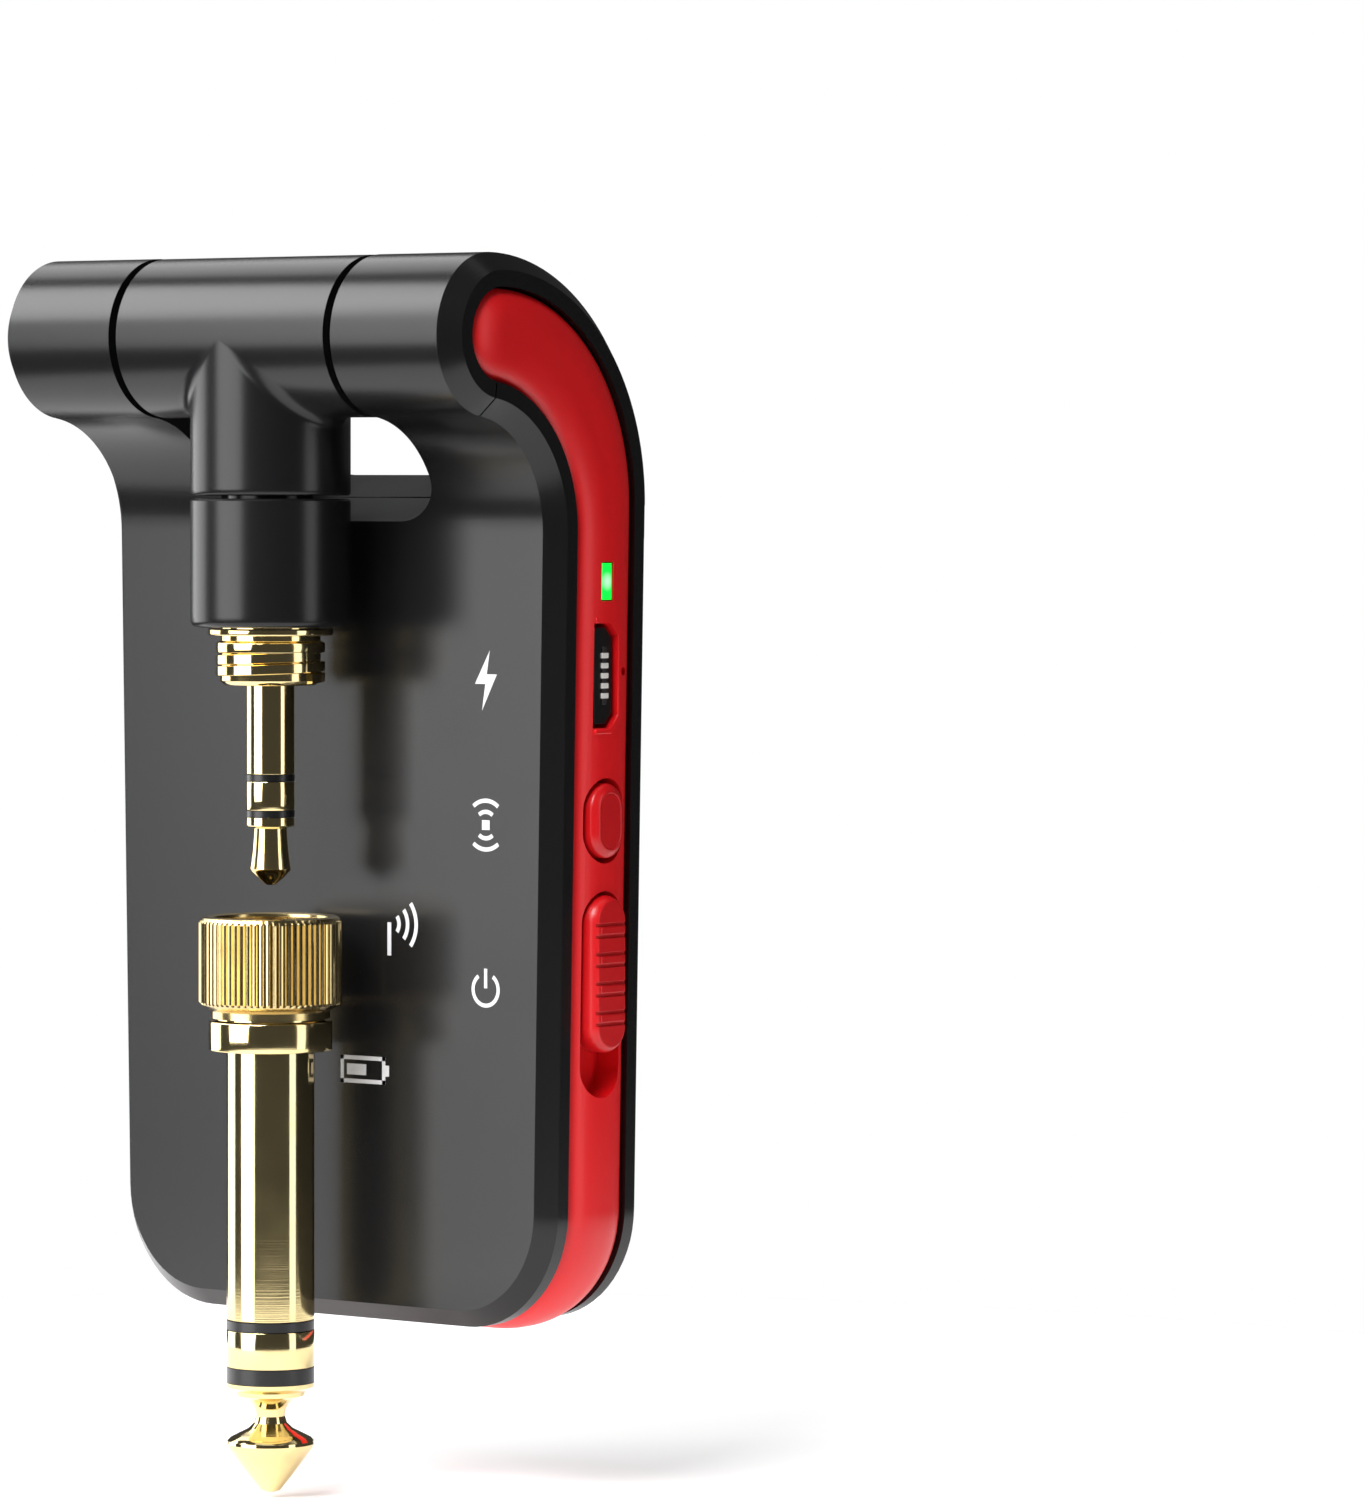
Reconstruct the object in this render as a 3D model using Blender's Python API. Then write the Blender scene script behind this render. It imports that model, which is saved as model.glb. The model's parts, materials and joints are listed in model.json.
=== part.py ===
"""Plug-on wireless guitar transmitter: a hinged 3.5 mm plug with a screw-on 6.35 mm adapter.

The design frame is the hinge axis: X runs along the hinge, Y from the plug side to the cover,
Z up, and almost everything hangs below it. One empty carries that frame to the part's own frame,
whose origin is the middle of the bottom of the part's box. Run with Blender 4.5.
"""
import math

import bmesh
import bpy
from mathutils import Matrix, Vector

MM = 0.001

# Clearances
GAP = 0.30 * MM              # between two pieces that touch
FINE_GAP = 0.10 * MM         # between the plugs' stacked contacts

# Casing, seen from the side as a J: barrel, bent neck and flat tablet
BARREL_RADIUS = 5.80 * MM
OUTER_RADIUS = 18.00 * MM    # bend of the cover; the cover's flat face is this far from the axis
FACE_Y = 6.48 * MM           # flat face on the plug side
INNER_RADIUS = 8.38 * MM     # bend of the plug side under the barrel
BOTTOM_Z = -71.23 * MM
HALF_WIDTH = 21.33 * MM      # at the height of the hinge
SIDE_TAPER = 0.77            # share of the width lost per metre below the hinge
CORNER_RADIUS = 8.50 * MM
EDGE_CHAMFER = 1.27 * MM
WALL = 1.50 * MM
LIP_WALL = 1.43 * MM         # side wall of a shell where it meets the red band
FACET_WIDTH = 7.40 * MM      # side facet of the cover where it is widest
FACET_TOP_Z = -12.0 * MM
FACET_WIDEST_Z = -53.0 * MM

# Red band
BAND_INSET = 2.44 * MM       # shell thickness left on each side of the band
BAND_WALL = 2.73 * MM        # depth of the band inwards from the shells' sides
BAND_BULGE = 0.45 * MM       # how far its crown stands out past the shells

# Window for the arm
NOTCH_HALF = 10.40 * MM
NOTCH_FACE_Z = -13.20 * MM   # sill at the plug-side face
NOTCH_COVER_Z = -9.80 * MM   # sill at the cover's face
NOTCH_CORNER = 3.50 * MM

# Hinge
KNUCKLE_HALF = 9.70 * MM
KNUCKLE_BORE = BARREL_RADIUS - 1.80 * MM
KNUCKLE_EDGE = 0.30 * MM
HINGE_WALL = 3.00 * MM       # bearing wall of each fixed barrel
SHAFT_RADIUS = 2.00 * MM
SHAFT_BORE = 0.90 * MM
SHAFT_HEAD_LENGTH = 2.30 * MM
SHAFT_LENGTH = 15.80 * MM    # from the middle to the shaft's end
RING_RADIUS = BARREL_RADIUS - 1.10 * MM
RING_THICKNESS = 1.10 * MM
RING_SEAT_DEPTH = 0.90 * MM
WASHER_THICKNESS = 0.50 * MM
CLIP_THICKNESS = 0.60 * MM
CLIP_RADIUS = BARREL_RADIUS - 2.60 * MM
WASHER_RADIUS = CLIP_RADIUS + 0.40 * MM

# Arm and collar
ARM_RADIUS = BARREL_RADIUS - 0.14 * MM
ARM_BORE = 3.40 * MM
COLLAR_TOP_Z = -11.40 * MM
COLLAR_BOTTOM_Z = -20.81 * MM
COLLAR_EDGE = 0.40 * MM
SPIGOT_LENGTH = 2.40 * MM
SPIGOT_WALL = 0.80 * MM

# 3.5 mm plug with its threaded stub
STUB_THREAD_RADIUS = 3.94 * MM
STUB_CORE_RADIUS = STUB_THREAD_RADIUS - 0.32 * MM
STUB_PITCH = 0.80 * MM
STUB_RIDGES = 3
STUB_BOTTOM_Z = -24.99 * MM
SHANK_RADIUS = STUB_CORE_RADIUS - 0.22 * MM
SHANK_LENGTH = 7.00 * MM     # part of the plug held inside the collar
PLUG_WASHER_RADIUS = STUB_THREAD_RADIUS + 0.56 * MM
PLUG_WASHER_THICKNESS = 0.50 * MM
PLUG_RADIUS = 1.75 * MM
PLUG_LENGTH = 14.45 * MM     # from the stub to the tip
PLUG_ROD_RADIUS = 0.40 * MM
PLUG_CORE_RADIUS = PLUG_RADIUS - 0.70 * MM
PLUG_RING_GAP_1 = 6.41 * MM  # each black ring's top, below the stub
PLUG_RING_GAP_2 = 9.01 * MM
PLUG_BLACK = 0.50 * MM       # height of a black ring

# 6.35 mm adapter
ADAPTER_TOP_Z = -41.65 * MM  # where it hangs when it is pulled off
NUT_BORE = STUB_THREAD_RADIUS + 0.26 * MM
NUT_RADIUS = NUT_BORE + 0.96 * MM
NUT_LENGTH = 7.33 * MM
NUT_RIDGES = 36
NUT_RIDGE_DEPTH = 0.16 * MM
FLANGE_RADIUS = NUT_BORE + 0.25 * MM
FLANGE_THICKNESS = 2.12 * MM
LINER_BORE = PLUG_RADIUS + GAP
LINER_WALL = 0.60 * MM
BIG_BORE = LINER_BORE + LINER_WALL + FINE_GAP
BIG_PLUG_RADIUS = BIG_BORE + 0.425 * MM
BIG_PLUG_LENGTH = 32.00 * MM  # from the flange to the tip
BIG_ROD_RADIUS = 0.60 * MM
BIG_CORE_RADIUS = 1.15 * MM
LINER_LENGTH = PLUG_LENGTH + 0.15 * MM
BIG_RING_GAP_1 = 19.48 * MM  # each black ring's top, below the flange
BIG_BLACK_1 = 0.70 * MM
BIG_RING_GAP_2 = 22.88 * MM
BIG_BLACK_2 = 1.13 * MM

# Controls and openings along the right side of the band, heights below the hinge
CONTROL_Y = 12.10 * MM
PORT_Y = 11.90 * MM
LIGHT_Z = -17.45 * MM
LIGHT_SIZE = (1.30 * MM, 2.80 * MM)
PORT_Z = -24.20 * MM
PORT_SIZE = (2.60 * MM, 7.50 * MM)
PORT_WALL = 0.30 * MM
BUTTON_Z = -34.60 * MM
BUTTON_SIZE = (3.70 * MM, 5.40 * MM)
BUTTON_STANDS = 0.80 * MM    # past the band's crown
BUTTON_TRAVEL = 0.40 * MM
SLOT_Z = -47.10 * MM
SLOT_SIZE = (4.40 * MM, 14.90 * MM)
KNOB_LENGTH = 11.30 * MM
KNOB_STANDS = 0.90 * MM
KNOB_RIDGES = 4
KNOB_RIDGE_PITCH = 2.10 * MM
SLIDER_TRAVEL = 2.60 * MM

# Inside
BOARD_THICKNESS = 0.80 * MM
BOARD_STAND = 1.30 * MM      # height of the bosses under the board
BOARD_TOP_Z = -16.00 * MM
BOSS_RADIUS = 1.80 * MM
SCREW_RADIUS = 0.70 * MM
SCREW_HEAD_RADIUS = 1.30 * MM
BATTERY_SIZE = (25.0 * MM, 3.60 * MM, 24.0 * MM)
PAD_THICKNESS = 0.60 * MM
LEAD_RADIUS = 0.50 * MM

AROUND = 24                  # facets round a turned piece
AROUND_BARREL = 36           # and round the barrel and arm


# ---------------------------------------------------------------- scene and helpers

for old in list(bpy.data.objects):
    bpy.data.objects.remove(old, do_unlink=True)


def srgb(code):
    """Linear colour of a hexadecimal sRGB code."""
    parts = [int(code[i:i + 2], 16) / 255 for i in (0, 2, 4)]
    linear = [c / 12.92 if c <= 0.04045 else ((c + 0.055) / 1.055) ** 2.4 for c in parts]
    return (*linear, 1.0)


def material(name, code, roughness, metallic=0.0):
    """A plain Principled material."""
    mat = bpy.data.materials.new(name)
    mat.use_nodes = True
    shader = mat.node_tree.nodes["Principled BSDF"]
    shader.inputs["Base Color"].default_value = srgb(code)
    shader.inputs["Roughness"].default_value = roughness
    shader.inputs["Metallic"].default_value = metallic
    mat.diffuse_color = srgb(code)
    return mat


BLACK = material("black_shell", "1C1C1E", 0.35)
RED = material("red_band", "C01E22", 0.45)
GOLD = material("gold_plate", "D8B25A", 0.2, 1.0)
INSULATOR = material("black_insulator", "101010", 0.4)
STEEL = material("steel", "B8BABD", 0.3, 1.0)
BOARD_GREEN = material("board_green", "14532D", 0.5)
CHIP = material("chip_black", "202022", 0.5)
SILVER = material("battery_foil", "A8ABB0", 0.4, 0.6)
FOAM = material("foam", "3A3A3C", 0.9)
LIGHT_GREEN = material("light_green", "22E04A", 0.2)
RUBBER = material("friction_rubber", "151515", 0.7)
LEAD = material("lead_sleeve", "2A2A2A", 0.5)

hinge_frame = bpy.data.objects.new("hinge_frame", None)
bpy.context.scene.collection.objects.link(hinge_frame)


def empty(name, location, parent):
    """An empty that carries a moving group; it lies on the joint's axis."""
    holder = bpy.data.objects.new(name, None)
    holder.location = location
    holder.parent = parent
    bpy.context.scene.collection.objects.link(holder)
    return holder


arm_frame = empty("arm_frame", (0, 0, 0), hinge_frame)
adapter_frame = empty("adapter_frame", (0, 0, ADAPTER_TOP_Z), arm_frame)
button_frame = empty("button_frame", (HALF_WIDTH, CONTROL_Y, BUTTON_Z), hinge_frame)
slider_frame = empty("slider_frame", (HALF_WIDTH, CONTROL_Y, SLOT_Z), hinge_frame)


def place(name, bm, mat, parent=hinge_frame):
    """Make an object of a bmesh drawn in the hinge frame; its origin goes to its parent's."""
    bmesh.ops.remove_doubles(bm, verts=bm.verts, dist=1e-7)
    bmesh.ops.recalc_face_normals(bm, faces=bm.faces)
    if parent is not hinge_frame:
        shift = parent.location.copy()
        if parent.parent is arm_frame:
            shift += arm_frame.location
        bmesh.ops.translate(bm, vec=-shift, verts=bm.verts)
    mesh = bpy.data.meshes.new(name)
    bm.to_mesh(mesh)
    bm.free()
    mesh.shade_smooth()
    mesh.set_sharp_from_angle(angle=math.radians(30))
    obj = bpy.data.objects.new(name, mesh)
    obj.data.materials.append(mat)
    obj.parent = parent
    bpy.context.scene.collection.objects.link(obj)
    return obj


def carve(obj, bm, operation="DIFFERENCE"):
    """Cut, join or intersect an object with a shape drawn in the hinge frame."""
    tool = place(obj.name + "_tool", bm, BLACK, obj.parent)
    bpy.context.view_layer.update()
    step = obj.modifiers.new("carve", "BOOLEAN")
    step.operation = operation
    step.solver = "EXACT"
    step.object = tool
    bpy.context.view_layer.objects.active = obj
    bpy.ops.object.modifier_apply(modifier=step.name)
    bpy.data.objects.remove(tool, do_unlink=True)
    drop_slivers(obj)
    return obj


def drop_slivers(obj):
    """Merge points that a cut left together, and drop faces without area and loose scraps."""
    bm = bmesh.new()
    bm.from_mesh(obj.data)
    bmesh.ops.remove_doubles(bm, verts=bm.verts, dist=1e-6)
    bmesh.ops.dissolve_degenerate(bm, edges=bm.edges, dist=1e-6)
    scraps = []
    seen = set()
    for face in bm.faces:
        if face in seen:
            continue
        island = {face}
        front = [face]
        while front:
            for edge in front.pop().edges:
                for other in edge.link_faces:
                    if other not in island:
                        island.add(other)
                        front.append(other)
        seen |= island
        if len(island) < 4:
            scraps += island
    bmesh.ops.delete(bm, geom=scraps, context="FACES")
    bm.to_mesh(obj.data)
    bm.free()


def skin(loops, caps=True):
    """A closed skin over closed loops of points, with a flat cap on the first and last."""
    bm = bmesh.new()
    rows = [[bm.verts.new(p) for p in loop] for loop in loops]
    count = len(loops[0])
    for low, high in zip(rows, rows[1:]):
        for i in range(count):
            j = (i + 1) % count
            bm.faces.new((low[i], low[j], high[j], high[i]))
    if caps:
        bm.faces.new(list(reversed(rows[0])))
        bm.faces.new(rows[-1])
    return bm


def block(low, high):
    """A box between two corners."""
    (x0, y0, z0), (x1, y1, z1) = low, high
    loops = [[(x, y0, z0), (x, y1, z0), (x, y1, z1), (x, y0, z1)] for x in (x0, x1)]
    return skin(loops)


def arc(centre, radius, start, stop, steps):
    """Points of an arc in a plane, angles in degrees."""
    angles = [math.radians(start + (stop - start) * i / steps) for i in range(steps + 1)]
    return [(centre[0] + radius * math.cos(a), centre[1] + radius * math.sin(a)) for a in angles]


def turned(profile, axis="Z", centre=(0, 0, 0), around=AROUND):
    """A turned solid: profile is a closed list of (radius, place along the axis)."""
    bm = bmesh.new()
    ring = [bm.verts.new((r, 0, z)) for r, z in profile]
    edges = []
    for i, vert in enumerate(ring):
        after = ring[(i + 1) % len(ring)]
        on_axis = profile[i][0] < 1e-9 and profile[(i + 1) % len(ring)][0] < 1e-9
        if not on_axis:
            edges.append(bm.edges.new((vert, after)))
    bmesh.ops.spin(bm, geom=ring + edges, axis=(0, 0, 1), cent=(0, 0, 0),
                   angle=math.tau, steps=around)
    bmesh.ops.remove_doubles(bm, verts=bm.verts, dist=1e-7)
    if axis == "X":
        bmesh.ops.rotate(bm, verts=bm.verts, matrix=Matrix.Rotation(math.pi / 2, 3, "Y"))
    elif axis == "Y":
        bmesh.ops.rotate(bm, verts=bm.verts, matrix=Matrix.Rotation(-math.pi / 2, 3, "X"))
    bmesh.ops.translate(bm, vec=Vector(centre), verts=bm.verts)
    return bm


def tube(outer, inner, low, high, axis="Z", centre=(0, 0, 0), edge=0.0, around=AROUND):
    """A turned tube or, with no inner radius, a rod, with chamfered outer edges."""
    profile = [(inner, low), (outer - edge, low), (outer, low + edge),
               (outer, high - edge), (outer - edge, high), (inner, high)]
    if edge == 0.0:
        profile = [(inner, low), (outer, low), (outer, high), (inner, high)]
    return turned(profile, axis, centre, around)


# ---------------------------------------------------------------- the casing's J shape

INNER_CENTRE_Y = FACE_Y - INNER_RADIUS
INNER_CENTRE_Z = -math.sqrt((BARREL_RADIUS + INNER_RADIUS) ** 2 - INNER_CENTRE_Y ** 2)
OUTER_CENTRE_Z = -(OUTER_RADIUS - BARREL_RADIUS)
CREASE_ANGLE = math.degrees(math.atan2(-INNER_CENTRE_Z, -INNER_CENTRE_Y))


def tapered(loops):
    """Draw points in towards the middle as they go down."""
    return [[(x * (1 + SIDE_TAPER * z), y, z) for x, y, z in loop] for loop in loops]


def j_shape(inset, half, bottom, corner, rim):
    """The J as a solid: inset all round its side view, given half width and bottom.

    rim lists (distance in from the side, extra inset) from the outside inwards, which
    shapes the edge: a chamfer has two entries and a rounded bead has more.
    """
    def extra(distance):
        for (a0, e0), (a1, e1) in zip(rim, rim[1:]):
            if distance <= a1:
                return e0 + (e1 - e0) * max(distance - a0, 0) / (a1 - a0)
        return rim[-1][1]

    def section(x):
        side = half - abs(x)
        e = inset + extra(side)

        def level(a):
            t = corner - side
            if t <= 0:
                return bottom + a
            r = corner - min(a, side)
            return bottom + corner - math.sqrt(max(r * r - t * t, 0.0))

        foot = [(inset + extra(min(a, side)), level(a)) for a, _ in rim]
        points = [(FACE_Y + f, z) for f, z in foot]
        points += arc((INNER_CENTRE_Y, INNER_CENTRE_Z), INNER_RADIUS + e, 0, CREASE_ANGLE, 6)
        points += arc((0, 0), BARREL_RADIUS - e, CREASE_ANGLE + 180, 90, 16)
        points += arc((0, OUTER_CENTRE_Z), OUTER_RADIUS - e, 90, 0, 9)[1:]
        points += [(OUTER_RADIUS - f, z) for f, z in reversed(foot)]
        return [(x, y, z) for y, z in points]

    turns = [corner * (1 - math.sin(math.radians(a))) for a in (0, 25, 50, 72)]
    distances = sorted(set(turns + [a for a, _ in rim]))
    stations = [d - half for d in distances] + [half - d for d in reversed(distances)]
    return skin(tapered([section(x) for x in stations]))


def outline(half, bottom, corner, top):
    """Rounded tablet outline in X and Z, open side up."""
    right = arc((half - corner, bottom + corner), corner, -90, 0, 6)
    left = arc((corner - half, bottom + corner), corner, 180, 270, 6)
    return left + right + [(half, top), (-half, top)]


def tablet(inset, top=20 * MM):
    """A prism through the casing in Y, inset from the casing's sides and bottom."""
    points = outline(HALF_WIDTH - inset, BOTTOM_Z + inset, CORNER_RADIUS - inset, top)
    return skin(tapered([[(x, y, z) for x, z in points] for y in (-20 * MM, 30 * MM)]))


def window(grow):
    """The U-shaped window with its slanted sill, grown by a wall's thickness."""
    slope = (NOTCH_COVER_Z - NOTCH_FACE_Z) / (OUTER_RADIUS - FACE_Y)
    loops = []
    for y in (-20 * MM, 30 * MM):
        sill = NOTCH_FACE_Z + slope * (y - FACE_Y) - grow
        points = outline(NOTCH_HALF + grow, sill, NOTCH_CORNER + grow, 25 * MM)
        loops.append([(x, y, z) for x, z in points])
    return skin(loops)


def half_region(plug_side, grow=0.0):
    """Everything on one side of the middle of the band; its edge meets the barrel's crease."""
    middle_y = (FACE_Y + OUTER_RADIUS) / 2
    radius = (INNER_RADIUS + OUTER_RADIUS) / 2
    reach = 40 * MM
    crease = math.radians(CREASE_ANGLE + 180)
    shift = grow / 2
    corner = (reach * math.cos(crease) - shift, reach * math.sin(crease))
    points = [(-shift, 0.0)]
    points += arc((middle_y - radius, -radius + 0.1 * MM), radius + grow, 84, 0, 10)
    points.append((middle_y + grow, -2.5 * reach))
    if plug_side:
        points += [(-reach, -2.5 * reach), (-reach, corner[1]), corner]
    else:
        points += [(reach, -2.5 * reach), (reach, reach), (-reach, reach),
                   (-reach, corner[1]), corner]
    return skin([[(x, y, z) for y, z in points] for x in (-reach, reach)])


def facet(side):
    """Wedge that leaves a side facet on the cover, widening downwards."""
    reach = 1.5 * MM
    loops = []
    for z in (FACET_TOP_Z, FACET_WIDEST_Z, BOTTOM_Z - 5 * MM):
        share = min((FACET_TOP_Z - z) / (FACET_TOP_Z - FACET_WIDEST_Z), 1.0)
        width = 0.9 * MM + (FACET_WIDTH - 0.9 * MM) * share
        drop = EDGE_CHAMFER + 0.05 * MM
        slope = drop / width
        inner = (HALF_WIDTH - width - reach, OUTER_RADIUS + slope * reach)
        outer = (HALF_WIDTH + reach, OUTER_RADIUS - drop - slope * reach)
        far = (HALF_WIDTH + reach, OUTER_RADIUS + 2 * reach)
        loops.append([(side * x, y, z) for x, y in (inner, outer, far)])
    steps = []
    for low, high in zip(loops, loops[1:]):
        for i in range(6):
            steps.append([tuple(Vector(a).lerp(Vector(b), i / 6)) for a, b in zip(low, high)])
    steps.append(loops[-1])
    return skin(tapered(steps))


def casing(name):
    """Both shells as one hollow piece, before they are parted."""
    obj = place(name, j_shape(0, HALF_WIDTH, BOTTOM_Z, CORNER_RADIUS,
                              [(0, EDGE_CHAMFER), (EDGE_CHAMFER, 0)]), BLACK)
    for side in (-1, 1):
        carve(obj, facet(side))
    cavity = place("cavity", j_shape(WALL, HALF_WIDTH - LIP_WALL, BOTTOM_Z + LIP_WALL,
                                     CORNER_RADIUS - LIP_WALL, [(0, 0.2 * MM), (0.2 * MM, 0)]), BLACK)
    carve(cavity, window(WALL))
    bearing = NOTCH_HALF + HINGE_WALL
    carve(cavity, block((-bearing, -9 * MM, -BARREL_RADIUS - 0.4 * MM), (bearing, 5 * MM, 9 * MM)))
    take(obj, cavity)
    seat = place("band_seat", j_shape(BAND_INSET, 2 * HALF_WIDTH, 1.3 * BOTTOM_Z, CORNER_RADIUS,
                                      [(0, 0.2 * MM), (0.2 * MM, 0)]), BLACK)
    carve(seat, tablet(BAND_WALL + GAP))
    take(obj, seat)
    carve(obj, window(0))
    ring = RING_RADIUS + GAP
    bore = SHAFT_RADIUS + GAP
    seat_end = NOTCH_HALF + RING_SEAT_DEPTH + GAP
    bore_end = bearing + GAP
    for side in (-1, 1):
        profile = [(0, NOTCH_HALF - GAP), (ring, NOTCH_HALF - GAP), (ring, seat_end),
                   (bore, seat_end), (bore, bore_end), (0, bore_end)]
        carve(obj, turned([(r, side * x) for r, x in profile], "X"))
    return obj


def take(obj, tool):
    """Subtract one object from another and delete it."""
    step = obj.modifiers.new("take", "BOOLEAN")
    step.operation = "DIFFERENCE"
    step.solver = "EXACT"
    step.object = tool
    bpy.context.view_layer.update()
    bpy.context.view_layer.objects.active = obj
    bpy.ops.object.modifier_apply(modifier=step.name)
    bpy.data.objects.remove(tool, do_unlink=True)
    drop_slivers(obj)


def board_screw_places():
    """Where the board is screwed down."""
    low = BOTTOM_Z + 8 * MM
    high = BOARD_TOP_Z - 4 * MM
    side = inner_side_at(BOTTOM_Z)
    return [(x, z) for z in (high, low) for x in (3.6 * MM - side, side - 4.6 * MM)]


BOARD_Y = FACE_Y + WALL + BOARD_STAND + GAP


def make_shells():
    """The cover with its barrels, and the plug-side shell with its bosses."""
    whole = casing("casing")
    cover = bpy.data.objects.new("cover_shell", whole.data.copy())
    cover.parent = hinge_frame
    bpy.context.scene.collection.objects.link(cover)
    carve(cover, half_region(True, GAP))
    shell = bpy.data.objects.new("plug_side_shell", whole.data.copy())
    shell.parent = hinge_frame
    bpy.context.scene.collection.objects.link(shell)
    carve(shell, half_region(False))
    for x, z in board_screw_places():
        y = FACE_Y + WALL
        boss = tube(BOSS_RADIUS, 0, y - 0.5 * MM, y + BOARD_STAND, "Y", (x, 0, z), around=16)
        carve(shell, boss, "UNION")
        pilot = tube(SCREW_RADIUS + GAP, 0, y + 0.2 * MM, y + 2 * BOARD_STAND, "Y", (x, 0, z),
                     around=12)
        carve(shell, pilot)
    bpy.data.objects.remove(whole, do_unlink=True)


def bead():
    """Rim of the red band: a flattened half round that stands out past the shells."""
    depth = 1.05 * MM
    spread = 2.0 * MM
    rim = []
    for angle in (0, 30, 60, 90):
        a = math.radians(angle)
        rim.append((depth * (1 - math.cos(a)), spread * (1 - math.sin(a))))
    return rim


CROWN = HALF_WIDTH + BAND_BULGE


def stadium(size, grow=0.0):
    """Round-ended slot outline in Y and Z about its middle."""
    radius = size[0] / 2 + grow
    reach = size[1] / 2 + grow - radius
    top = arc((0, reach), radius, 0, 180, 8)
    bottom = arc((0, -reach), radius, 180, 360, 8)
    return top + bottom


def slot_through(points, centre, low, high):
    """A prism along X of an outline in Y and Z."""
    y0, z0 = centre
    return skin([[(x, y0 + y, z0 + z) for y, z in points] for x in (low, high)])


def side_at(z):
    """The red crown's distance from the middle at a height."""
    return CROWN * (1 + SIDE_TAPER * z)


def inner_side_at(z):
    """The band's inner face at a height."""
    return (HALF_WIDTH - BAND_WALL) * (1 + SIDE_TAPER * z)


def make_band():
    """The red band with its openings."""
    band = place("mid_frame", j_shape(BAND_INSET + GAP, CROWN, BOTTOM_Z - BAND_BULGE,
                                      CORNER_RADIUS + BAND_BULGE, bead()), RED)
    carve(band, tablet(BAND_WALL))
    far = 1.2 * CROWN
    near = 0.7 * CROWN
    light = [(y * LIGHT_SIZE[0] / 2, z * LIGHT_SIZE[1] / 2)
             for y, z in ((-1, -1), (1, -1), (1, 1), (-1, 1))]
    carve(band, slot_through(light, (PORT_Y, LIGHT_Z), near, far))
    carve(band, slot_through(port_outline(0), (PORT_Y, PORT_Z), near, far))
    carve(band, slot_through(stadium(BUTTON_SIZE, GAP), (CONTROL_Y, BUTTON_Z), near, far))
    carve(band, slot_through(stadium(SLOT_SIZE), (CONTROL_Y, SLOT_Z), side_at(SLOT_Z) - 1.5 * MM, far))
    lever = [(y * 1.3 * MM, z * (1.3 * MM + SLIDER_TRAVEL / 2 + GAP))
             for y, z in ((-1, -1), (1, -1), (1, 1), (-1, 1))]
    carve(band, slot_through(lever, (CONTROL_Y, knob_middle() - SLIDER_TRAVEL / 2), near, far))


def port_outline(grow):
    """Charging port: straight on the plug side, chamfered on the cover side."""
    y = PORT_SIZE[0] / 2 + grow
    z = PORT_SIZE[1] / 2 + grow
    cut = 0.9 * MM
    return [(-y, -z), (y - cut, -z), (y, -z + cut), (y, z - cut), (y - cut, z), (-y, z)]


# ---------------------------------------------------------------- controls

def knob_middle():
    """Height of the slider knob's middle when it is switched on, at the top of its slot."""
    return SLOT_Z + SLOT_SIZE[1] / 2 - GAP - KNOB_LENGTH / 2


def make_controls():
    """The push button, and the ribbed slider with the fork that drives its switch."""
    base = side_at(BUTTON_Z) - 2.2 * MM
    top = side_at(BUTTON_Z) + BUTTON_STANDS
    steps = [(base, 0.0), (top - 0.5 * MM, 0.0), (top - 0.15 * MM, -0.2 * MM), (top, -0.6 * MM)]
    loops = [[(x, CONTROL_Y + y, BUTTON_Z + z) for y, z in stadium(BUTTON_SIZE, grow)]
             for x, grow in steps]
    place("pair_button", skin(loops), RED, button_frame)

    size = (SLOT_SIZE[0] - 2 * GAP, KNOB_LENGTH)
    middle = knob_middle()
    base = side_at(middle) - 1.0 * MM
    top = side_at(middle) + KNOB_STANDS
    steps = [(base, 0.0), (top - 0.6 * MM, 0.0), (top - 0.25 * MM, -0.3 * MM), (top - 0.2 * MM, -0.7 * MM)]
    loops = [[(x, CONTROL_Y + y, middle + z) for y, z in stadium(size, grow)] for x, grow in steps]
    knob = place("power_slider", skin(loops), RED, slider_frame)
    for i in range(KNOB_RIDGES):
        z = middle + KNOB_RIDGE_PITCH * ((KNOB_RIDGES - 1) / 2 - i)
        y = size[0] / 2 - 0.5 * MM
        rib = block((top - 0.5 * MM, CONTROL_Y - y, z - 0.25 * MM),
                    (top + 0.15 * MM, CONTROL_Y + y, z + 0.25 * MM))
        carve(knob, rib, "UNION")
    fork = block((base - 1.6 * MM, CONTROL_Y - 1.0 * MM, middle - 1.3 * MM),
                 (base + 0.4 * MM, CONTROL_Y + 1.0 * MM, middle + 1.3 * MM))
    carve(knob, fork, "UNION")
    socket = block((base - 3 * MM, CONTROL_Y - 2 * MM, middle - 0.5 * MM - GAP),
                   (base - 0.2 * MM, CONTROL_Y + 2 * MM, middle + 0.5 * MM + GAP))
    carve(knob, socket)


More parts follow.
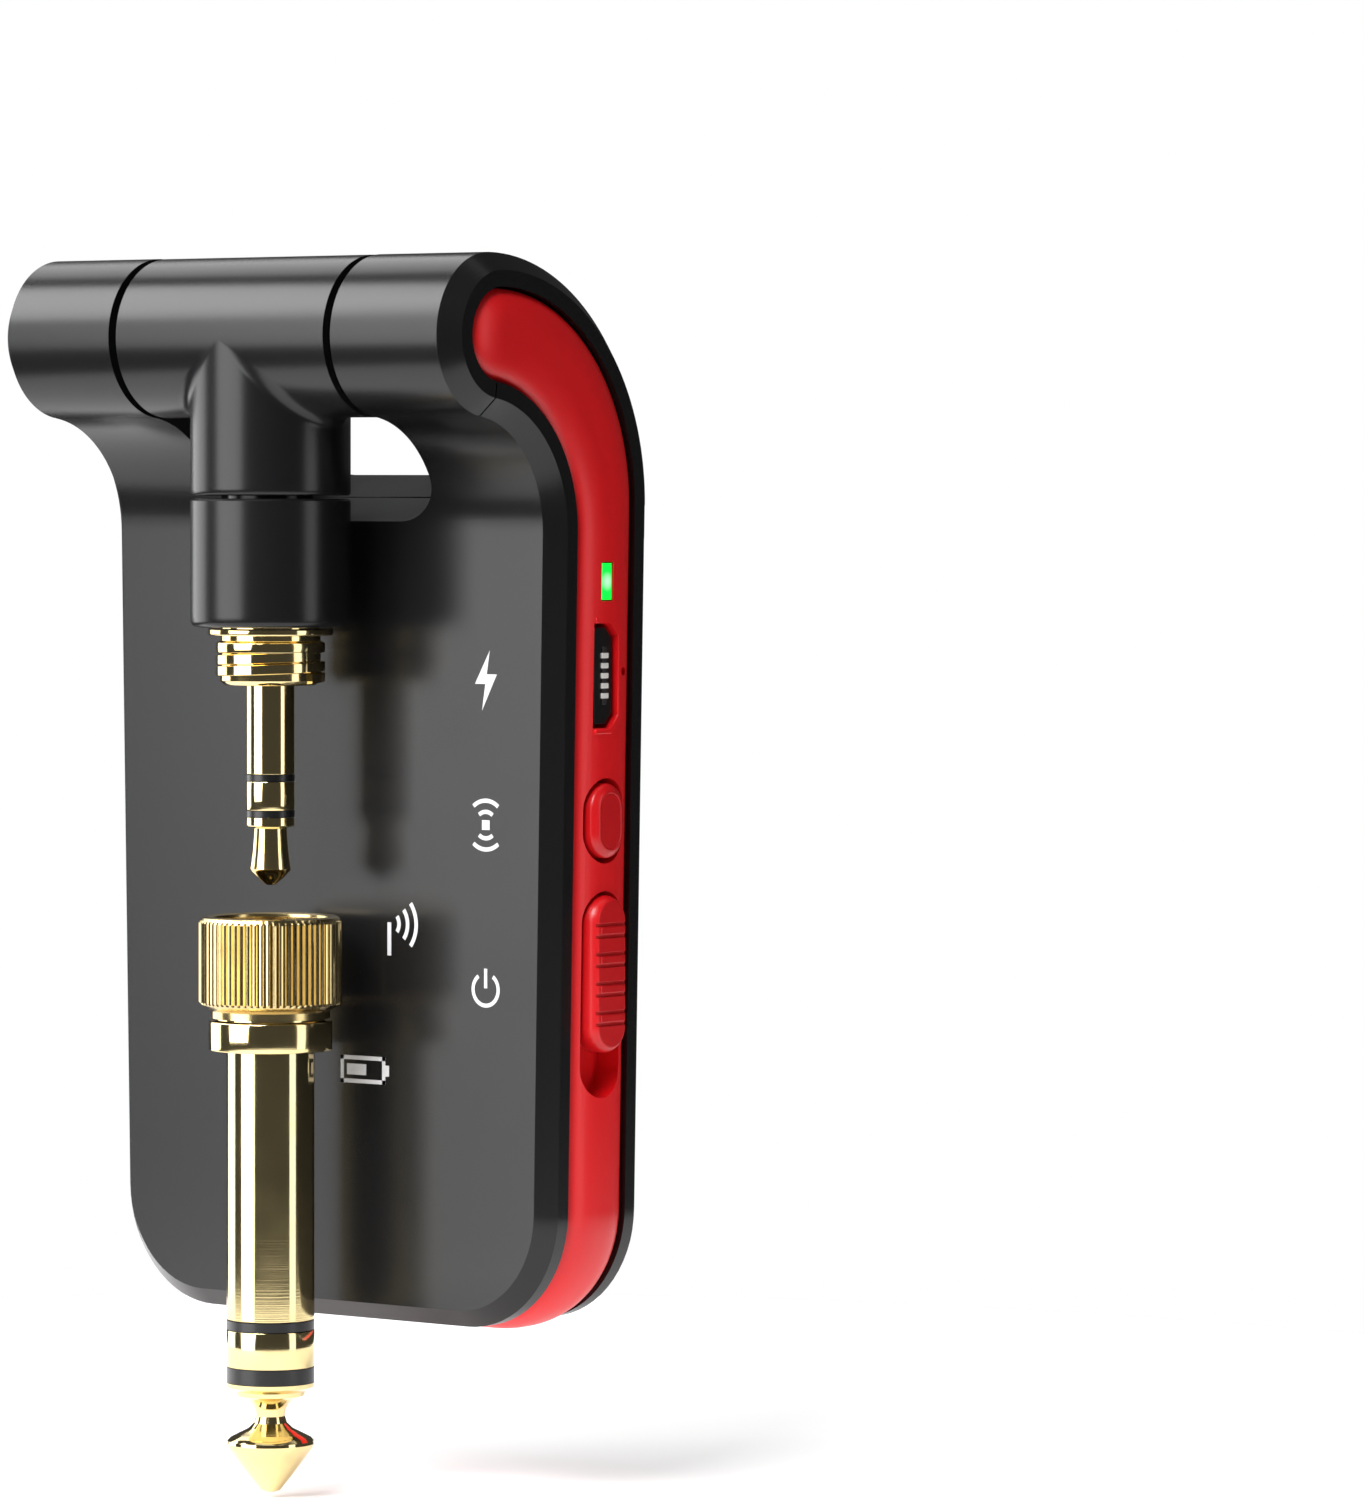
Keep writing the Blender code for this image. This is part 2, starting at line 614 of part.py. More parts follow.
def make_port_and_light():
    """The charging socket with its tongue, and the status light's window."""
    back = inner_side_at(PORT_Z) - 3.4 * MM
    front = side_at(PORT_Z) - 1.2 * MM
    shell = place("usb_socket", slot_through(port_outline(-GAP), (PORT_Y, PORT_Z), back, front), STEEL)
    carve(shell, slot_through(port_outline(-GAP - PORT_WALL), (PORT_Y, PORT_Z),
                              back + PORT_WALL, front + 1 * MM))
    y = PORT_Y + 0.10 * MM
    place("usb_tongue", block((back + PORT_WALL + GAP, y - 0.25 * MM, PORT_Z - 2.1 * MM),
                              (front - 0.6 * MM, y + 0.25 * MM, PORT_Z + 2.1 * MM)), CHIP)
    wide = LIGHT_SIZE[0] / 2 - FINE_GAP
    tall = LIGHT_SIZE[1] / 2 - FINE_GAP
    place("light_pipe", block((inner_side_at(LIGHT_Z) + GAP, PORT_Y - wide, LIGHT_Z - tall),
                              (side_at(LIGHT_Z) - 0.1 * MM, PORT_Y + wide, LIGHT_Z + tall)), LIGHT_GREEN)


# ---------------------------------------------------------------- hinge and arm

def make_hinge():
    """The knuckle with its arm, and on each side a shaft, friction ring, washer and clip."""
    knuckle = place("hinge_knuckle", tube(BARREL_RADIUS, 0, -KNUCKLE_HALF, KNUCKLE_HALF, "X",
                                          edge=KNUCKLE_EDGE, around=AROUND_BARREL), BLACK, arm_frame)
    foot = COLLAR_TOP_Z + GAP / 2
    carve(knuckle, tube(ARM_RADIUS, 0, foot, 0, around=AROUND_BARREL), "UNION")
    carve(knuckle, tube(KNUCKLE_BORE, 0, -1.2 * KNUCKLE_HALF, 1.2 * KNUCKLE_HALF, "X"))
    carve(knuckle, tube(ARM_BORE, 0, foot - 1 * MM, 0))

    washer_at = NOTCH_HALF + HINGE_WALL + GAP
    clip_at = washer_at + WASHER_THICKNESS + GAP
    groove = SHAFT_RADIUS - 0.4 * MM
    bore = SHAFT_RADIUS + GAP
    for name, side in (("left", -1), ("right", 1)):
        head = KNUCKLE_HALF - 0.2 * MM - SHAFT_HEAD_LENGTH
        shoulder = head + SHAFT_HEAD_LENGTH
        profile = [(SHAFT_BORE, head), (KNUCKLE_BORE - GAP, head), (KNUCKLE_BORE - GAP, shoulder),
                   (SHAFT_RADIUS, shoulder), (SHAFT_RADIUS, clip_at - 0.15 * MM),
                   (groove, clip_at - 0.15 * MM), (groove, clip_at + CLIP_THICKNESS + 0.15 * MM),
                   (SHAFT_RADIUS, clip_at + CLIP_THICKNESS + 0.15 * MM),
                   (SHAFT_RADIUS, SHAFT_LENGTH), (SHAFT_BORE, SHAFT_LENGTH)]
        profile = [(r, side * x) for r, x in profile]
        place("hinge_shaft_" + name, turned(profile, "X", around=20), STEEL, arm_frame)
        faces = sorted((side * clip_at, side * (clip_at + CLIP_THICKNESS)))
        clip = place("hinge_clip_" + name, tube(CLIP_RADIUS, groove + GAP, *faces, "X", around=20),
                     STEEL, arm_frame)
        carve(clip, block((side * clip_at - 2 * MM, -0.8 * MM, 0),
                          (side * clip_at + 2 * MM, 0.8 * MM, 9 * MM)))
        seat = NOTCH_HALF + RING_SEAT_DEPTH
        faces = sorted((side * seat, side * (seat - RING_THICKNESS)))
        place("friction_ring_" + name, tube(RING_RADIUS, bore, *faces, "X"), RUBBER)
        faces = sorted((side * washer_at, side * (washer_at + WASHER_THICKNESS)))
        place("hinge_washer_" + name, tube(WASHER_RADIUS, bore, *faces, "X", around=20), STEEL)


def make_collar():
    """Lower half of the arm, with a spigot up into the arm and a bore that holds the plug."""
    top = COLLAR_TOP_Z - GAP / 2
    spigot = ARM_BORE - GAP
    hold = SHANK_RADIUS + GAP
    shelf = COLLAR_BOTTOM_Z + SHANK_LENGTH + GAP
    inner = spigot - SPIGOT_WALL
    edge = COLLAR_EDGE
    profile = [(hold, COLLAR_BOTTOM_Z), (ARM_RADIUS - edge, COLLAR_BOTTOM_Z),
               (ARM_RADIUS - 0.3 * edge, COLLAR_BOTTOM_Z + 0.3 * edge),
               (ARM_RADIUS, COLLAR_BOTTOM_Z + edge), (ARM_RADIUS, top), (spigot, top),
               (spigot, top + SPIGOT_LENGTH), (inner, top + SPIGOT_LENGTH), (inner, shelf), (hold, shelf)]
    place("arm_collar", turned(profile, around=AROUND_BARREL), BLACK, arm_frame)


# ---------------------------------------------------------------- 3.5 mm plug

def make_small_plug():
    """Threaded stub and sleeve, moulded core, ring and tip."""
    washer_top = COLLAR_BOTTOM_Z - FINE_GAP
    washer_bottom = washer_top - PLUG_WASHER_THICKNESS
    place("plug_washer", tube(PLUG_WASHER_RADIUS, SHANK_RADIUS + FINE_GAP, washer_bottom, washer_top,
                              edge=0.1 * MM), GOLD, arm_frame)
    bore = PLUG_CORE_RADIUS + FINE_GAP
    thread_top = washer_bottom - FINE_GAP
    end = STUB_BOTTOM_Z - PLUG_RING_GAP_1
    profile = [(bore, COLLAR_BOTTOM_Z + SHANK_LENGTH), (bore, end), (PLUG_RADIUS, end),
               (PLUG_RADIUS, STUB_BOTTOM_Z)]
    z = STUB_BOTTOM_Z
    for _ in range(STUB_RIDGES):
        profile += [(STUB_CORE_RADIUS, z), (STUB_THREAD_RADIUS, z + 0.4 * STUB_PITCH),
                    (STUB_THREAD_RADIUS, z + 0.6 * STUB_PITCH)]
        z += STUB_PITCH
    profile += [(STUB_CORE_RADIUS, z), (STUB_CORE_RADIUS, thread_top), (SHANK_RADIUS, thread_top),
                (SHANK_RADIUS, COLLAR_BOTTOM_Z + SHANK_LENGTH)]
    place("plug_sleeve", turned(profile), GOLD, arm_frame)

    second = STUB_BOTTOM_Z - PLUG_RING_GAP_2
    rod = PLUG_ROD_RADIUS + FINE_GAP
    core_top = COLLAR_BOTTOM_Z + SHANK_LENGTH + 1.0 * MM
    profile = [(rod, core_top), (rod, second - PLUG_BLACK)]
    for top in (second, end):
        profile += [(PLUG_RADIUS, top - PLUG_BLACK), (PLUG_RADIUS, top - FINE_GAP),
                    (PLUG_CORE_RADIUS, top - FINE_GAP)]
        if top == second:
            profile.append((PLUG_CORE_RADIUS, end - PLUG_BLACK))
    profile.append((PLUG_CORE_RADIUS, core_top))
    place("plug_insulator", turned(profile, around=20), INSULATOR, arm_frame)
    place("plug_ring", tube(PLUG_RADIUS, bore, second, end - PLUG_BLACK - FINE_GAP, around=20),
          GOLD, arm_frame)

    start = second - PLUG_BLACK - FINE_GAP
    tip = STUB_BOTTOM_Z - PLUG_LENGTH
    profile = [(0, tip), (0.35 * MM, tip + 0.05 * MM), (1.45 * MM, tip + 1.10 * MM),
               (1.45 * MM, tip + 1.45 * MM), (1.22 * MM, start - 0.9 * MM), (1.22 * MM, start - 0.75 * MM),
               (PLUG_RADIUS, start - 0.6 * MM), (PLUG_RADIUS, start), (PLUG_ROD_RADIUS, start),
               (PLUG_ROD_RADIUS, core_top + 0.8 * MM), (0, core_top + 0.8 * MM)]
    place("plug_tip", turned(profile, around=20), GOLD, arm_frame)


# ---------------------------------------------------------------- 6.35 mm adapter

def knurled_nut():
    """The knurled nut as a skin round the axis, with the ridges as a wave in its radius."""
    top = ADAPTER_TOP_Z
    low = top - NUT_LENGTH
    deep = NUT_RADIUS - NUT_RIDGE_DEPTH
    rows = [(NUT_BORE, top - 0.3 * MM, 0), (NUT_BORE + 0.3 * MM, top, 0), (deep - 0.35 * MM, top, 0),
            (deep, top - 0.4 * MM, 0), (deep, top - 0.55 * MM, 1), (deep, low + 1.05 * MM, 1),
            (deep, low + 0.9 * MM, 0), (FLANGE_RADIUS, low + 0.45 * MM, 0), (FLANGE_RADIUS, low, 0),
            (NUT_BORE, low, 0)]
    count = 2 * NUT_RIDGES
    loops = []
    for radius, z, ridged in rows:
        loop = []
        for i in range(count):
            r = radius + (NUT_RIDGE_DEPTH if ridged and i % 2 == 0 else 0.0)
            a = math.tau * i / count
            loop.append((r * math.cos(a), r * math.sin(a), z))
        loops.append(loop)
    return skin(loops + loops[:1], caps=False)


def make_adapter():
    """Nut, barrel with its flange, liner, core, ring and tip, all on the adapter's axis."""
    place("adapter_knurled_sleeve", knurled_nut(), GOLD, adapter_frame)
    spigot_top = ADAPTER_TOP_Z - 4.30 * MM
    flange_top = ADAPTER_TOP_Z - NUT_LENGTH - 0.22 * MM
    flange_low = flange_top - FLANGE_THICKNESS
    end = flange_low - BIG_RING_GAP_1
    liner_low = spigot_top - GAP - LINER_LENGTH
    narrow = BIG_CORE_RADIUS + FINE_GAP
    edge = 0.25 * MM
    profile = [(BIG_BORE, spigot_top), (BIG_BORE, liner_low - GAP), (narrow, liner_low - GAP),
               (narrow, end), (BIG_PLUG_RADIUS, end), (BIG_PLUG_RADIUS, flange_low),
               (FLANGE_RADIUS - edge, flange_low), (FLANGE_RADIUS, flange_low + edge),
               (FLANGE_RADIUS, flange_top - edge), (FLANGE_RADIUS - edge, flange_top),
               (NUT_BORE - GAP, flange_top), (NUT_BORE - GAP, spigot_top)]
    place("adapter_barrel", turned(profile), GOLD, adapter_frame)
    place("adapter_liner", tube(BIG_BORE - FINE_GAP, LINER_BORE, liner_low, spigot_top - GAP),
          INSULATOR, adapter_frame)

    second = flange_low - BIG_RING_GAP_2
    core_top = liner_low - 2 * GAP
    rod = BIG_ROD_RADIUS + FINE_GAP
    profile = [(rod, core_top), (rod, second - BIG_BLACK_2),
               (BIG_PLUG_RADIUS, second - BIG_BLACK_2), (BIG_PLUG_RADIUS, second - FINE_GAP),
               (BIG_CORE_RADIUS, second - FINE_GAP), (BIG_CORE_RADIUS, end - BIG_BLACK_1),
               (BIG_PLUG_RADIUS, end - BIG_BLACK_1), (BIG_PLUG_RADIUS, end - FINE_GAP),
               (BIG_CORE_RADIUS, end - FINE_GAP), (BIG_CORE_RADIUS, core_top)]
    place("adapter_insulator", turned(profile), INSULATOR, adapter_frame)
    place("adapter_ring", tube(BIG_PLUG_RADIUS, narrow, second, end - BIG_BLACK_1 - FINE_GAP),
          GOLD, adapter_frame)

    tip = flange_low - BIG_PLUG_LENGTH
    start = second - BIG_BLACK_2 - FINE_GAP
    profile = [(0, tip), (0.68 * MM, tip), (2.95 * MM, tip + 3.05 * MM), (3.17 * MM, tip + 3.5 * MM),
               (3.05 * MM, tip + 3.95 * MM), (1.35 * MM, tip + 4.9 * MM), (1.05 * MM, tip + 5.6 * MM),
               (1.45 * MM, tip + 6.5 * MM), (2.6 * MM, start - 0.75 * MM),
               (BIG_PLUG_RADIUS, start - 0.3 * MM), (BIG_PLUG_RADIUS, start),
               (BIG_ROD_RADIUS, start), (BIG_ROD_RADIUS, core_top - GAP), (0, core_top - GAP)]
    place("adapter_tip", turned(profile), GOLD, adapter_frame)


# ---------------------------------------------------------------- inside

def make_inside():
    """The board with what it carries, the battery on its pad, and the screws."""
    side = inner_side_at(BOTTOM_Z) - 2 * GAP
    board_low = BOTTOM_Z + BAND_WALL + 1.2 * MM
    corner = CORNER_RADIUS - BAND_WALL
    points = outline(side, board_low, corner, BOARD_TOP_Z)
    face = BOARD_Y + BOARD_THICKNESS
    board = place("main_board", skin([[(x, y, z) for x, z in points] for y in (BOARD_Y, face)]),
                  BOARD_GREEN)
    for number, (x, z) in enumerate(board_screw_places(), 1):
        carve(board, tube(SCREW_RADIUS + GAP, 0, BOARD_Y - 1 * MM, face + 1 * MM, "Y", (x, 0, z),
                          around=12))
        tip = FACE_Y + WALL + 0.2 * MM + GAP
        head = face + GAP
        profile = [(0, tip), (SCREW_RADIUS, tip), (SCREW_RADIUS, head), (SCREW_HEAD_RADIUS, head),
                   (SCREW_HEAD_RADIUS, head + 0.4 * MM), (0.8 * SCREW_HEAD_RADIUS, head + 0.6 * MM),
                   (0, head + 0.6 * MM)]
        screw = place("board_screw_%d" % number, turned(profile, "Y", (x, 0, z), around=16), STEEL)
        for wide, tall in ((0.8 * MM, 0.15 * MM), (0.15 * MM, 0.8 * MM)):
            carve(screw, block((x - wide, head + 0.3 * MM, z - tall), (x + wide, head + 2 * MM, z + tall)))

    parts = face + GAP
    wide, thick, tall = BATTERY_SIZE
    x0 = -side + 1.5 * MM
    z0 = board_low + 8.5 * MM
    place("battery_pad", block((x0 + 2 * MM, parts, z0 + 2 * MM),
                               (x0 + wide - 2 * MM, parts + PAD_THICKNESS, z0 + tall - 2 * MM)), FOAM)
    low = parts + PAD_THICKNESS + GAP
    cell = place("battery", block((x0, low, z0), (x0 + wide, low + thick, z0 + tall)), SILVER)
    soften = cell.modifiers.new("soft_edges", "BEVEL")
    soften.width = 0.6 * MM
    soften.segments = 2

    chips = (("radio_shield", STEEL, (-8.5, -28.0), (12.0, 12.0), 1.6),
             ("codec_chip", CHIP, (3.0, -22.5), (5.0, 5.0), 0.9),
             ("charge_chip", CHIP, (7.5, -30.0), (3.0, 3.0), 0.9))
    for name, mat, (x, z), (width, height), rise in chips:
        place(name, block(((x - width / 2) * MM, parts, (z - height / 2) * MM),
                          ((x + width / 2) * MM, parts + rise * MM, (z + height / 2) * MM)), mat)
    edge = -inner_side_at(BUTTON_Z)
    place("antenna", block((edge + 1.5 * GAP, parts + 0.2 * MM, -46 * MM),
                           (edge + 1.5 * GAP + 0.5 * MM, parts + 4.2 * MM, -20 * MM)), GOLD)
    place("status_led", block((inner_side_at(LIGHT_Z) - 1.6 * MM, parts, LIGHT_Z - 0.8 * MM),
                              (inner_side_at(LIGHT_Z) - GAP, parts + 1.6 * MM, LIGHT_Z + 0.8 * MM)),
          LIGHT_GREEN)
    make_switches(parts)


def make_switches(parts):
    """The tact switch behind the button and the slide switch behind the slider."""
    button_base = side_at(BUTTON_Z) - 2.2 * MM
    nose = button_base - GAP
    body_front = nose - 1.0 * MM
    half = 1.5 * MM
    place("pair_switch_body", block((body_front - 3.0 * MM, parts, BUTTON_Z - 2.6 * MM),
                                    (body_front, CONTROL_Y + half, BUTTON_Z + 2.6 * MM)), CHIP)
    place("pair_switch_plunger", tube(0.9 * MM, 0, body_front + GAP + BUTTON_TRAVEL, nose, "X",
                                      (0, CONTROL_Y, BUTTON_Z), around=16), INSULATOR, button_frame)
    middle = knob_middle()
    lever_tip = side_at(middle) - 1.0 * MM - 0.2 * MM - GAP
    front = inner_side_at(middle) - GAP
    reach = 2.2 * MM + SLIDER_TRAVEL
    rest = middle - SLIDER_TRAVEL / 2
    body = place("power_switch_body", block((front - 3.6 * MM, parts, rest - reach),
                                            (front, CONTROL_Y + 1.6 * MM, rest + reach)), STEEL)
    slot = SLIDER_TRAVEL / 2 + 0.5 * MM + GAP
    carve(body, block((front - 1.5 * MM, CONTROL_Y - 0.8 * MM, rest - slot),
                      (front + 1 * MM, CONTROL_Y + 0.8 * MM, rest + slot)))
    place("power_switch_lever", block((front - 1.5 * MM + GAP, CONTROL_Y - 0.5 * MM, middle - 0.5 * MM),
                                      (lever_tip, CONTROL_Y + 0.5 * MM, middle + 0.5 * MM)),
          INSULATOR, slider_frame)


def lead(name, points, parent):
    """A round lead along a smooth curve through points given in the hinge frame."""
    fine = []
    for i in range(len(points) - 1):
        before = Vector(points[max(i - 1, 0)])
        start = Vector(points[i])
        stop = Vector(points[i + 1])
        after = Vector(points[min(i + 2, len(points) - 1)])
        for k in range(3):
            t = k / 3
            fine.append(0.5 * ((2 * start) + (stop - before) * t
                               + (2 * before - 5 * start + 4 * stop - after) * t ** 2
                               + (3 * start - before - 3 * stop + after) * t ** 3))
    fine.append(Vector(points[-1]))
    curve = bpy.data.curves.new(name, "CURVE")
    curve.dimensions = "3D"
    spline = curve.splines.new("POLY")
    spline.points.add(len(fine) - 1)
    for point, place_at in zip(spline.points, fine):
        point.co = (*place_at, 1)
    curve.bevel_depth = LEAD_RADIUS
    curve.bevel_resolution = 2
    curve.use_fill_caps = True
    obj = bpy.data.objects.new(name, curve)
    obj.data.materials.append(LEAD)
    obj.parent = parent
    bpy.context.scene.collection.objects.link(obj)


def make_leads():
    """The plug's lead goes up the arm, out along the hinge axis and down to the board."""
    solder = COLLAR_BOTTOM_Z + SHANK_LENGTH + 2.4 * MM
    lead("plug_lead_arm", [(0, 0, solder), (0, 0, -8 * MM), (0.3 * MM, 0, -4.5 * MM),
                           (2.0 * MM, 0, -1.4 * MM), (4.5 * MM, 0, -0.1 * MM), (7 * MM, 0, 0),
                           (11 * MM, 0, 0), (SHAFT_LENGTH, 0, 0)], arm_frame)
    bend = (INNER_RADIUS + OUTER_RADIUS) / 2
    turn_y = (FACE_Y + OUTER_RADIUS) / 2 - bend
    points = [(SHAFT_LENGTH + GAP, 0, 0), (SHAFT_LENGTH + 1.0 * MM, 0.5 * MM, 0)]
    for angle, inward in ((72, 0.9), (50, 1.0), (28, 0.0), (8, -1.5)):
        a = math.radians(angle)
        points.append((SHAFT_LENGTH + inward * MM, turn_y + bend * math.cos(a), -bend + bend * math.sin(a)))
    face = BOARD_Y + BOARD_THICKNESS + GAP + LEAD_RADIUS
    points += [(11.5 * MM, face + 1.0 * MM, BOARD_TOP_Z - 1.5 * MM), (9.5 * MM, face, BOARD_TOP_Z - 5 * MM)]
    lead("plug_lead_body", points, hinge_frame)
    side = inner_side_at(BOTTOM_Z)
    top = BOTTOM_Z + BAND_WALL + 1.2 * MM + 8.5 * MM + BATTERY_SIZE[2] + GAP + LEAD_RADIUS
    y = face + PAD_THICKNESS + GAP + 1.0 * MM
    lead("battery_lead", [(-side + 14 * MM, y, top), (-side + 17 * MM, y, top + 0.2 * MM),
                          (-side + 20 * MM, y - 0.5 * MM, top + 0.6 * MM),
                          (-side + 22.5 * MM, face, top + 0.8 * MM)], hinge_frame)


def centre_the_frame():
    """Carry the finished part so that the origin is the middle of the bottom of its box."""
    bpy.context.view_layer.update()
    corners = [obj.matrix_world @ Vector(corner) for obj in bpy.data.objects
               if obj.type != "EMPTY" for corner in obj.bound_box]
    low = [min(c[k] for c in corners) for k in range(3)]
    high = [max(c[k] for c in corners) for k in range(3)]
    hinge_frame.location = (-(low[0] + high[0]) / 2, -(low[1] + high[1]) / 2, -low[2])
    bpy.context.view_layer.update()


make_shells()
make_band()
make_controls()
make_port_and_light()
make_hinge()
make_collar()
make_small_plug()
make_adapter()
make_inside()
make_leads()
centre_the_frame()
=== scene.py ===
# %% [markdown]
# # A plug-on wireless guitar transmitter
#
# The object is a black, J-shaped pocket casing with a red band let into its edge. A hinge runs along
# its top. An arm hangs from the hinge and ends in a small gold-plated plug, and below it hangs a
# larger plug: the adapter that screws onto the small one.
#
# The shapes are built here in Blender around a fixed frame: the CAD model, which is already in its
# place. Each visible CAD part is replaced by a finer piece that rides on the same moving body.

# %% Load the frame
import json
import math

import bpy
from mathutils import Matrix, Vector


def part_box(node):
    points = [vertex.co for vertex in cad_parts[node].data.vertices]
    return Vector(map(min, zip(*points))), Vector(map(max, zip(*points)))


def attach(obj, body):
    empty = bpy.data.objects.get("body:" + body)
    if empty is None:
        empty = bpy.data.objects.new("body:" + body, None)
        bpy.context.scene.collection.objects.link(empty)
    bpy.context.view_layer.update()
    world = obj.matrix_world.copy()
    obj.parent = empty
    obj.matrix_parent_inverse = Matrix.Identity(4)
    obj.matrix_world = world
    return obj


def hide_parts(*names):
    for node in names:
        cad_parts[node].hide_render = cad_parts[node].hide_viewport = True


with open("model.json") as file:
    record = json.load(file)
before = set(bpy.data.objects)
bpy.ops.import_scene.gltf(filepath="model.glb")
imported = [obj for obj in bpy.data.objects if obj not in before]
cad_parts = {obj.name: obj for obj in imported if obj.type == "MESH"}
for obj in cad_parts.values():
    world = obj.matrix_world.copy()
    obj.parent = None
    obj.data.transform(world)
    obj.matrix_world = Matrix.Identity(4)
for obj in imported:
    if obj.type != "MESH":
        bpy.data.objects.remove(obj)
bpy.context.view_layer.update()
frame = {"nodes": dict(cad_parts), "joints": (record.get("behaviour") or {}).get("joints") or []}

# %% [markdown]
# ## Where everything is measured from
#
# The hinge is the natural zero of this object: the arm turns about it, and the casing hangs from it.
# Sizes below are in millimetres from the middle of the hinge: x to the right along the hinge, y from
# the plug's side towards the cover, z up. One function turns them into Blender's metres.

# %% Measures
MM = 0.001
HINGE = Vector(frame["joints"][0]["pos_m"])


def at(x, y, z):
    """A place given in millimetres from the middle of the hinge."""
    return HINGE + Vector((x, y, z)) * MM


def low_of(node):
    """Lowest corner of a CAD part, in millimetres from the hinge."""
    return (Vector(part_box(node)[0]) - HINGE) / MM


def high_of(node):
    """Highest corner of a CAD part, in millimetres from the hinge."""
    return (Vector(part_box(node)[1]) - HINGE) / MM


def middle_of(node):
    """Middle of a CAD part's box, in millimetres from the hinge."""
    return (low_of(node) + high_of(node)) / 2


BARREL = 5.8                      # radius of the barrels along the hinge
FACE_Y = low_of("main_board").y - 3.1  # the flat face on the plug's side
COVER_Y = high_of("cover_shell").y     # the flat face of the cover
BOTTOM_Z = low_of("cover_shell").z
NARROWING = 0.77                  # share of the width lost per metre below the hinge
HALF = 21.33                      # half the width at the height of the hinge
CORNER = 8.5                      # rounding of the two bottom corners
BEND = 18.0                       # outer bend of the cover, about (0, COVER_Y - BEND)
HOLLOW = 8.38                     # bend under the barrel
print("face %.2f, cover %.2f, bottom %.2f mm from the hinge" % (FACE_Y, COVER_Y, BOTTOM_Z))

# %% [markdown]
# ## Drawing with a moving point
#
# A long smooth outline is easiest drawn as with a pencil. A plane is added and merged to one point.
# That point is extruded along straight lines and spun round the centres of the bends, and the closed
# outline is filled. Extruding the filled face gives a solid, and spinning an outline all the way
# round gives a turned part.

# %% The pencil


def begin(name, point):
    """Add a plane, merge it to one point and carry it to its place."""
    if bpy.context.mode != "OBJECT":
        bpy.ops.object.mode_set(mode="OBJECT")
    bpy.ops.object.select_all(action="DESELECT")
    bpy.ops.mesh.primitive_plane_add(size=1 * MM, location=(0, 0, 0))
    piece = bpy.context.object
    piece.name = piece.data.name = name
    bpy.ops.object.mode_set(mode="EDIT")
    bpy.ops.mesh.select_mode(type="VERT")
    bpy.ops.mesh.select_all(action="SELECT")
    bpy.ops.mesh.merge(type="CENTER")
    bpy.ops.transform.translate(value=at(*point))
    return piece


def outline(name, first, steps, fill=True):
    """Draw an outline from a first point. A step is a point to go to, or a turn round a centre."""
    piece = begin(name, first)
    here = Vector(first)
    for step in steps:
        if len(step) == 3:
            there = Vector(step)
            bpy.ops.mesh.extrude_vertices_move(
                TRANSFORM_OT_translate={"value": (there - here) * MM})
            here = there
        else:
            centre, axis, degrees, count = step
            bpy.ops.mesh.spin(steps=count, angle=-math.radians(degrees), center=at(*centre), axis=axis)
            turn = Matrix.Rotation(math.radians(degrees), 3, Vector(axis))
            here = Vector(centre) + turn @ (here - Vector(centre))
    bpy.ops.mesh.select_all(action="SELECT")
    bpy.ops.mesh.remove_doubles(threshold=0.0005 * MM)
    if fill:
        bpy.ops.mesh.edge_face_add()
    return piece


def pull(piece, x=0.0, y=0.0, z=0.0):
    """Extrude the filled outline into a solid and turn its faces outwards."""
    bpy.ops.mesh.select_all(action="SELECT")
    bpy.ops.mesh.extrude_region_move(TRANSFORM_OT_translate={"value": (x * MM, y * MM, z * MM)})
    return outwards(piece)


def outwards(piece):
    """Merge doubles and make all faces look outwards; leaves edit mode."""
    bpy.ops.mesh.select_all(action="SELECT")
    bpy.ops.mesh.remove_doubles(threshold=0.0005 * MM)
    bpy.ops.mesh.normals_make_consistent(inside=False)
    bpy.ops.object.mode_set(mode="OBJECT")
    return piece


def turned(name, profile, axis="Z", sides=96, centre=(0, 0, 0)):
    """Spin a closed profile of (radius, place along the axis) all the way round."""
    cx, cy, cz = centre
    if axis == "Z":
        points = [(cx + r, cy, cz + t) for r, t in profile]
        way = (0, 0, 1)
    elif axis == "X":
        points = [(cx + t, cy, cz + r) for r, t in profile]
        way = (1, 0, 0)
    else:
        points = [(cx + r, cy + t, cz) for r, t in profile]
        way = (0, 1, 0)
    on_axis = profile[0][0] == 0 and profile[-1][0] == 0
    piece = outline(name, points[0], points[1:] + ([] if on_axis else [points[0]]), fill=False)
    bpy.ops.mesh.spin(steps=sides, angle=math.tau, center=at(*centre), axis=way)
    return outwards(piece)


def rod(name, radius, low, high, axis, sides, centre):
    """A round bar between two places along an axis."""
    return turned(name, [(0, low), (radius, low), (radius, high), (0, high)], axis, sides, centre)


def tube(name, bore, radius, low, high, sides):
    """An upright tube."""
    return turned(name, [(bore, low), (radius, low), (radius, high), (bore, high)], "Z", sides)


def soften(piece, width, segments=2, degrees=35):
    """Break the sharp edges with a small bevel, as a mould or a lathe tool leaves them."""
    edge = piece.modifiers.new("soft edges", "BEVEL")
    edge.width = width * MM
    edge.segments = segments
    edge.limit_method = "ANGLE"
    edge.angle_limit = math.radians(degrees)
    edge.use_clamp_overlap = True
    apply(piece, edge)
    return piece


def apply(piece, modifier):
    """Apply one modifier."""
    bpy.ops.object.select_all(action="DESELECT")
    bpy.context.view_layer.objects.active = piece
    piece.select_set(True)
    bpy.ops.object.modifier_apply(modifier=modifier.name)


